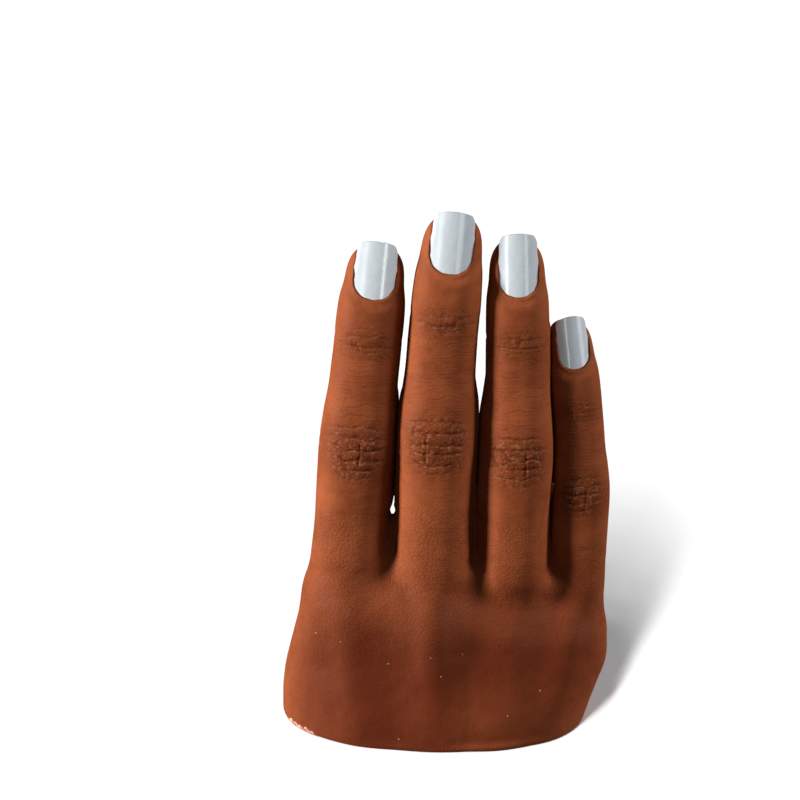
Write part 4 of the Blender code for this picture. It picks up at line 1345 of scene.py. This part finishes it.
def rim_place(angle, height):
    """A place on the outline of the palm at an angle round its middle, and the way out from it."""
    out = np.array([math.cos(angle), math.sin(angle), 0])
    inner, outer = RIM_REACHES
    for _ in range(RIM_HALVINGS):
        reach = (inner + outer) / 2
        place = np.array([PALM_MIDDLE[0], PALM_MIDDLE[1], height]) + reach * out
        if hand_distance(place[None])[0] < 0:
            inner = reach
        else:
            outer = reach
    return place, out


def build_torn_flash():
    """A ragged pale strip left where the moulding was cut, along the lower left edge."""
    rings = []
    for step in range(FLASH_STEPS):
        share = step / (FLASH_STEPS - 1)
        place, out = rim_place(between(FLASH_FROM, FLASH_TO, share), FLASH_HEIGHT)
        fade = math.sin(math.pi * share) ** 0.4
        ragged = hashed(np.array([step // 4, 3, 1]), 17)
        fine = hashed(np.array([step, 5, 2]), 18)
        tall = (0.3 + fade * (1.0 + 1.0 * ragged + 0.3 * fine) * (1 - 0.6 * share)) * MM
        thick = fade * (0.18 + 0.30 * fine) * MM
        foot = 0.30 * MM
        face = ((0.05 * MM, foot), (thick, 0.35 * tall + foot), (0.7 * thick, tall))
        rows = ((FLASH_ROOT, foot), *face, (FLASH_ROOT, tall))
        foot_place = [(place + reach * out, height - FLASH_HEIGHT) for reach, height in rows]
        rings.append([foot + np.array([0, 0, rise]) for foot, rise in foot_place])
    points, quads, low_cap, high_cap = tube(np.array(rings))
    flash = closed_piece("palm_torn_flash", points, quads + low_cap + high_cap, TORN_EDGE)
    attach(flash, "palm")


def build_specks(palm):
    """Flat white chips on the back of the palm."""
    points, normals = palm.rows[:, :3], palm.rows[:, 3:6]
    back = np.flatnonzero(normals[:, 1] < -0.2)
    made, faces = [], []
    for number, (across, height, radius) in enumerate(SPECKS):
        gap = (points[back, 0] - across * MM) ** 2 + (points[back, 2] - height * MM) ** 2
        at = back[np.argmin(gap)]
        out = unit(normals[at])
        side = unit(np.cross(out, np.array([0, 0, 1])))
        up = np.cross(side, out)
        first = len(made)
        made.append(points[at] + CHIP_CROWN * radius * MM * out)
        for corner in range(CHIP_SIDES):
            turn = 2 * math.pi * corner / CHIP_SIDES
            reach = radius * MM * (0.75 + 0.4 * hashed(np.array([number, corner, 3]), 19))
            made.append(points[at] + CHIP_LIFT * out + reach * (math.cos(turn) * side + math.sin(turn) * up))
        made.append(points[at] - CHIP_ROOT * out)
        for corner in range(CHIP_SIDES):
            a, b = first + 1 + corner, first + 1 + (corner + 1) % CHIP_SIDES
            faces += [(a, b, first), (b, a, first + 1 + CHIP_SIDES)]
    specks = closed_piece("palm_dust_specks", np.array(made), faces, DUST)
    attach(specks, "palm")


def nearest_finger(points, finger):
    """Under zero where a finger is nearer than any other."""
    own = finger_distance(finger, points)
    others = [finger_distance(other, points) for other in FINGERS if other is not finger]
    return own - np.min(others, axis=0)


LEATHER_HEIGHTS = (15 * MM, 40 * MM)
RED_AND_SHADE_HEIGHTS = (19 * MM, 56 * MM)
HEEL_HEIGHTS = (6 * MM, 20 * MM)
HEEL_SIDES = (-14 * MM, 10 * MM)
HEEL_SHADE_EASING = 0.32


def build_skin_piece(name, mesh, finger):
    """A closed piece of the hand's skin: the palm, or with a finger that finger's root."""
    rows, triangles, cap = mesh
    points, normals = rows[:, :3], unit(rows[:, 3:6])
    local = to_local(finger, points) if finger else points
    order = np.argsort(cap, kind="stable")
    triangles, cap = triangles[order], cap[order]
    creases = np.stack([rows[:, 6], rows[:, 7], np.zeros(len(rows))], axis=1)
    stripes = finger_stripes(finger, local[:, 2]) if finger else np.zeros(len(points))
    leather = 0.45 + 0.55 * ease(*LEATHER_HEIGHTS, points[:, 2])
    facing = np.clip(-normals[:, 1], 0, 1) ** 2
    # The darker red low on the hand is partly pigment and partly painted shade, strongest where the skin
    # faces front and eased at the heel
    base = (1 - ease(*RED_AND_SHADE_HEIGHTS, points[:, 2])) * (0.10 + 0.90 * facing)
    heel = (1 - ease(*HEEL_HEIGHTS, points[:, 2])) * ease(*HEEL_SIDES, points[:, 0])
    base = base * (1 - HEEL_SHADE_EASING * heel)
    vectors = mask_vectors(points, local, creases, stripes, leather, base)
    skin, caps = triangles[~cap].tolist(), triangles[cap].tolist()
    piece = make_piece(name, points, skin, caps, normals, SILICONE, vectors)
    if finger:
        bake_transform(piece)
        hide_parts(finger.name + "_proximal_skin", "knuckle_skin")
    else:
        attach(piece, "palm")
        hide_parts("palm_skin", "knuckle_skin")


# Nails

NAIL_TUCK = 0.35 * MM
NAIL_CORNER_SHARE = 0.60
NAIL_TIP_CURVE = 0.95 * MM
NAIL_CROWN = 0.22 * MM
NAIL_COLUMN_COUNT = 45
NAIL_CORNER_STEPS = 14
NAIL_RIM = 0.10 * MM
NAIL_BEND_START = 0.55  # the share of the nail's length from which its tip curves
Nick = namedtuple("Nick", "place width depth")
NICKS = {"index": (Nick(1.05 * MM, 0.42 * MM, 0.38 * MM), Nick(1.85 * MM, 0.34 * MM, -0.36 * MM))}


def nail_half_width(finger, plate, z):
    """Half the plate's width along it: a round tongue, tucked sides, then free sides and rounded corners."""
    full = plate.half_width + NAIL_TUCK * (1 - ease(0.45, 0.72, z / finger.nail_length))
    tongue = np.clip(-z / NAIL_TONGUE, 0, 1)
    full = full * (1 - 0.9 * tongue**3.2) ** 0.5
    corner = NAIL_CORNER_SHARE * plate.half_width
    t = np.clip((z - (finger.nail_length - corner)) / corner, 0, 1)
    return full - corner * (1 - (1 - t**2.3) ** (1 / 2.3))


def build_nail(finger):
    """A press-on nail: a curved plate with a tongue under the cuticle."""
    plate = nail_frame(finger)
    corner = NAIL_CORNER_SHARE * plate.half_width
    straight = np.arange(-NAIL_TONGUE, finger.nail_length - corner, NAIL_STEP)
    bent = finger.nail_length - corner * (1 - np.sin(np.linspace(0, np.pi / 2, NAIL_CORNER_STEPS)))
    z = np.concatenate([straight, bent])
    z = z - NAIL_TIP_CURVE * 0.6 * ease(NAIL_BEND_START, 1, z / finger.nail_length)
    half = nail_half_width(finger, plate, z)
    share = np.sin(np.linspace(-np.pi / 2, np.pi / 2, NAIL_COLUMN_COUNT) * 0.8) / math.sin(0.4 * np.pi)
    x = half[:, None] * share
    end = ease(NAIL_BEND_START, 1, z / finger.nail_length)[:, None]
    lift = NAIL_TIP_CURVE * (1 - (x / plate.half_width) ** 2) * end
    for nick in NICKS.get(finger.name, ()):
        edge_share = ease(0.93, 1, z / finger.nail_length)[:, None]
        lift = lift - nick.depth * hump(x - nick.place, nick.width) * edge_share
    along = z[:, None] + lift
    crown = NAIL_CROWN * (1 - ((2 * z / finger.nail_length - 1)[:, None]) ** 2)
    crown = np.where(z[:, None] < 0, 0, crown)
    angle = np.arcsin(np.clip(x / plate.radius, -1, 1))
    layers = []
    for sunk in (0, NAIL_THICKNESS * 0.85):
        radius = plate.radius - sunk
        down = plate.radius - radius * np.cos(angle) - crown
        layers.append(np.stack([radius * np.sin(angle), down, along], axis=-1))
    rows, columns = x.shape
    points = np.concatenate([layer.reshape(-1, 3) for layer in layers])
    top = np.arange(rows * columns).reshape(rows, columns)
    under = top + rows * columns
    faces = np.stack([top[:-1, :-1], top[:-1, 1:], top[1:, 1:], top[1:, :-1]], axis=-1).reshape(-1, 4)
    below = np.stack([under[:-1, :-1], under[1:, :-1], under[1:, 1:], under[:-1, 1:]], axis=-1).reshape(-1, 4)
    rim = np.concatenate([top[0, :-1], top[:-1, -1], top[-1, :0:-1], top[:0:-1, 0]])
    after = np.roll(rim, -1)
    deeper = rows * columns
    sides = np.stack([rim, rim + deeper, after + deeper, after], axis=1)
    mesh = bpy.data.meshes.new(finger.name + "_press_on_nail")
    world = to_world(finger, plate.origin + points @ plate.turn.T)
    mesh.from_pydata(world.tolist(), [], np.concatenate([faces, below, sides]).tolist())
    mesh.materials.append(VARNISH)
    mesh.shade_smooth()
    edge = (finger.nail_length - z[:, None] + 0 * x) / MM
    place = np.stack([x / plate.half_width, edge, 0 * x], axis=-1)
    give_vectors(mesh, "nail_mm", np.concatenate([place, place]))
    piece = place_object(mesh.name, mesh)
    bevel = piece.modifiers.new("rim", "BEVEL")
    bevel.width = NAIL_RIM
    bevel.segments = 2
    bevel.limit_method = "ANGLE"
    bevel.angle_limit = 50 * DEGREE
    bevel.harden_normals = True
    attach(piece, finger.name + "_nail")
    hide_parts(finger.name + "_nail")
    return piece


# What stands round the hand

CAMERA_PLACE = Vector((2.2, -402, 238)) * MM
CAMERA_AIM = Vector((2.2, -2, 65)) * MM
CAMERA_LENS = 80.55
CAMERA_SHIFT = (-0.05625, 0.108)


def place_camera():
    """The photograph's viewpoint. The lens shift keeps its framing."""
    data = bpy.data.cameras.new("camera")
    data.lens = CAMERA_LENS
    data.shift_x, data.shift_y = CAMERA_SHIFT
    data.clip_start = 10 * MM
    camera = place_object("camera", data)
    camera.location = CAMERA_PLACE
    camera.rotation_euler = (CAMERA_AIM - CAMERA_PLACE).to_track_quat("-Z", "Y").to_euler()
    bpy.context.scene.camera = camera


# Suns: azimuth from the camera's side towards +X, elevation, softness, strength and colour
WARM = (1, 0.985, 0.96)
WHITE = (1, 1, 1)
HAND_SUNS = {
    "key": (-72.5 * DEGREE, 13 * DEGREE, 12 * DEGREE, 7.0, WARM),
    "side": (79 * DEGREE, 36 * DEGREE, 16 * DEGREE, 2.9, WHITE),
}
AMBIENT = 0.145
# The floor's suns stand one over the other, so that the shadow fades evenly away from the hand
FLOOR_SUN_AZIMUTH = -21 * DEGREE
FLOOR_SUN_ELEVATIONS = (39 * DEGREE, 43.5 * DEGREE, 48 * DEGREE, 53.5 * DEGREE, 60 * DEGREE, 66 * DEGREE)
FLOOR_SUN_SOFTNESS = 5 * DEGREE
FLOOR_SUN_SHARE = 0.395
FLOOR_GLOW = 0.17


def direction(azimuth, elevation=0.0):
    """The way from the hand to a light. An azimuth of 0 is the camera's side."""
    flat = math.cos(elevation)
    return Vector((math.sin(azimuth) * flat, -math.cos(azimuth) * flat, math.sin(elevation)))


def place_light(name, data, place, way):
    """A light that shines against its way."""
    light = place_object(name, data)
    light.location = place
    light.rotation_euler = way.to_track_quat("Z", "Y").to_euler()
    return light


def sun_light(name, azimuth, elevation, softness, strength, colour):
    data = bpy.data.lights.new(name, "SUN")
    data.energy = strength
    data.angle = softness
    data.color = colour
    way = direction(azimuth, elevation)
    return place_light(name, data, way, way)


def aim_lights(label, state, receivers, lights):
    """Keeps some lights to some objects, or off them, so that the floor's shadow has a light of its own."""
    group = bpy.data.collections.new(label)
    for receiver in receivers:
        group.objects.link(receiver)
    for member in group.collection_objects:
        member.light_linking.link_state = state
    for light in lights:
        light.light_linking.receiver_collection = group


STRIP_DISTANCE = 220 * MM
STRIP_HEIGHT = 62 * MM
STRIP_LENGTH = 215 * MM
# Lights that each nail mirrors as a streak: azimuth, width and brightness
STRIPS = {
    "index": ((-40 * DEGREE, 60 * MM, 2.4), (26 * DEGREE, 34 * MM, 7.5)),
    "middle": ((-40 * DEGREE, 60 * MM, 2.6), (27 * DEGREE, 60 * MM, 2.4)),
    "ring": ((-31 * DEGREE, 34 * MM, 7.0), (40 * DEGREE, 36 * MM, 3.2)),
    "little": ((-1 * DEGREE, 24 * MM, 4.4), (60 * DEGREE, 60 * MM, 2.4)),
}


def strip_light(name, azimuth, width, brightness):
    """A narrow upright light that a nail mirrors."""
    data = bpy.data.lights.new(name, "AREA")
    data.shape = "RECTANGLE"
    data.size, data.size_y = width, STRIP_LENGTH
    data.energy = brightness * math.pi * width * STRIP_LENGTH
    place = direction(azimuth) * STRIP_DISTANCE
    light = place_light(name, data, place + Vector((0, 0, STRIP_HEIGHT)), place)
    light.visible_camera = False
    return light


def floor_sun(elevation):
    """One of the floor's suns. All light the floor alike, however low they stand."""
    strength = FLOOR_SUN_SHARE / math.sin(elevation)
    return sun_light("floor_sun", FLOOR_SUN_AZIMUTH, elevation, FLOOR_SUN_SOFTNESS, strength, WHITE)


def light_the_scene(floor, nails):
    """Suns for the hand, others for the floor's shadow, a pair of strips for each nail and a white sky."""
    aim_lights("hand_lit", "EXCLUDE", [floor], [sun_light(name, *sun) for name, sun in HAND_SUNS.items()])
    aim_lights("floor_lit", "INCLUDE", [floor], [floor_sun(elevation) for elevation in FLOOR_SUN_ELEVATIONS])
    for finger, nail in zip(FINGERS, nails):
        strips = [strip_light(finger.name + "_strip", *strip) for strip in STRIPS[finger.name]]
        aim_lights(finger.name + "_nail_lit", "INCLUDE", [nail], strips)
    world = bpy.data.worlds.new("studio")
    world.use_nodes = True
    tree = world.node_tree
    seen = node(tree, "ShaderNodeLightPath").outputs["Is Camera Ray"]
    strength = maths("MULTIPLY_ADD", seen, 1 - AMBIENT)
    strength.node.inputs[2].default_value = AMBIENT
    feed(tree.nodes["Background"], {"Color": (1, 1, 1, 1), "Strength": strength})
    bpy.context.scene.world = world
    bpy.context.scene.view_settings.view_transform = "Standard"


FLOOR_REACH = 6.0


def lay_floor():
    """A pale floor that throws no light back on the hand."""
    made, tree, shader = new_material("pale_floor")
    look = {"Base Color": (1, 1, 1, 1), "Emission Color": (1, 1, 1, 1), "Emission Strength": FLOOR_GLOW}
    feed(shader, {**look, "Roughness": 0.9, "Specular IOR Level": 0.1})
    mesh = bpy.data.meshes.new("floor")
    corners = [(x * FLOOR_REACH, y * FLOOR_REACH, 0) for x, y in ((-1, -1), (1, -1), (1, 1), (-1, 1))]
    mesh.from_pydata(corners, [], [(0, 1, 2, 3)])
    mesh.materials.append(made)
    floor = place_object("floor", mesh)
    floor.visible_diffuse = False
    floor.visible_glossy = False
    floor.visible_shadow = False
    return floor


def dress_the_armature():
    """Looks for the parts of the frame that still show: the pins and the armature they join."""
    for name, obj in frame["nodes"].items():
        if not obj.hide_render:
            obj.data.materials.clear()
            obj.data.materials.append(STEEL if name.endswith("_pin") else PLASTIC)


def main():
    place_camera()
    palm = build_hand_skin()
    build_specks(palm)
    build_torn_flash()
    for finger in FINGERS:
        build_finger_skin(finger)
    nails = [build_nail(finger) for finger in FINGERS]
    light_the_scene(lay_floor(), nails)
    dress_the_armature()


main()
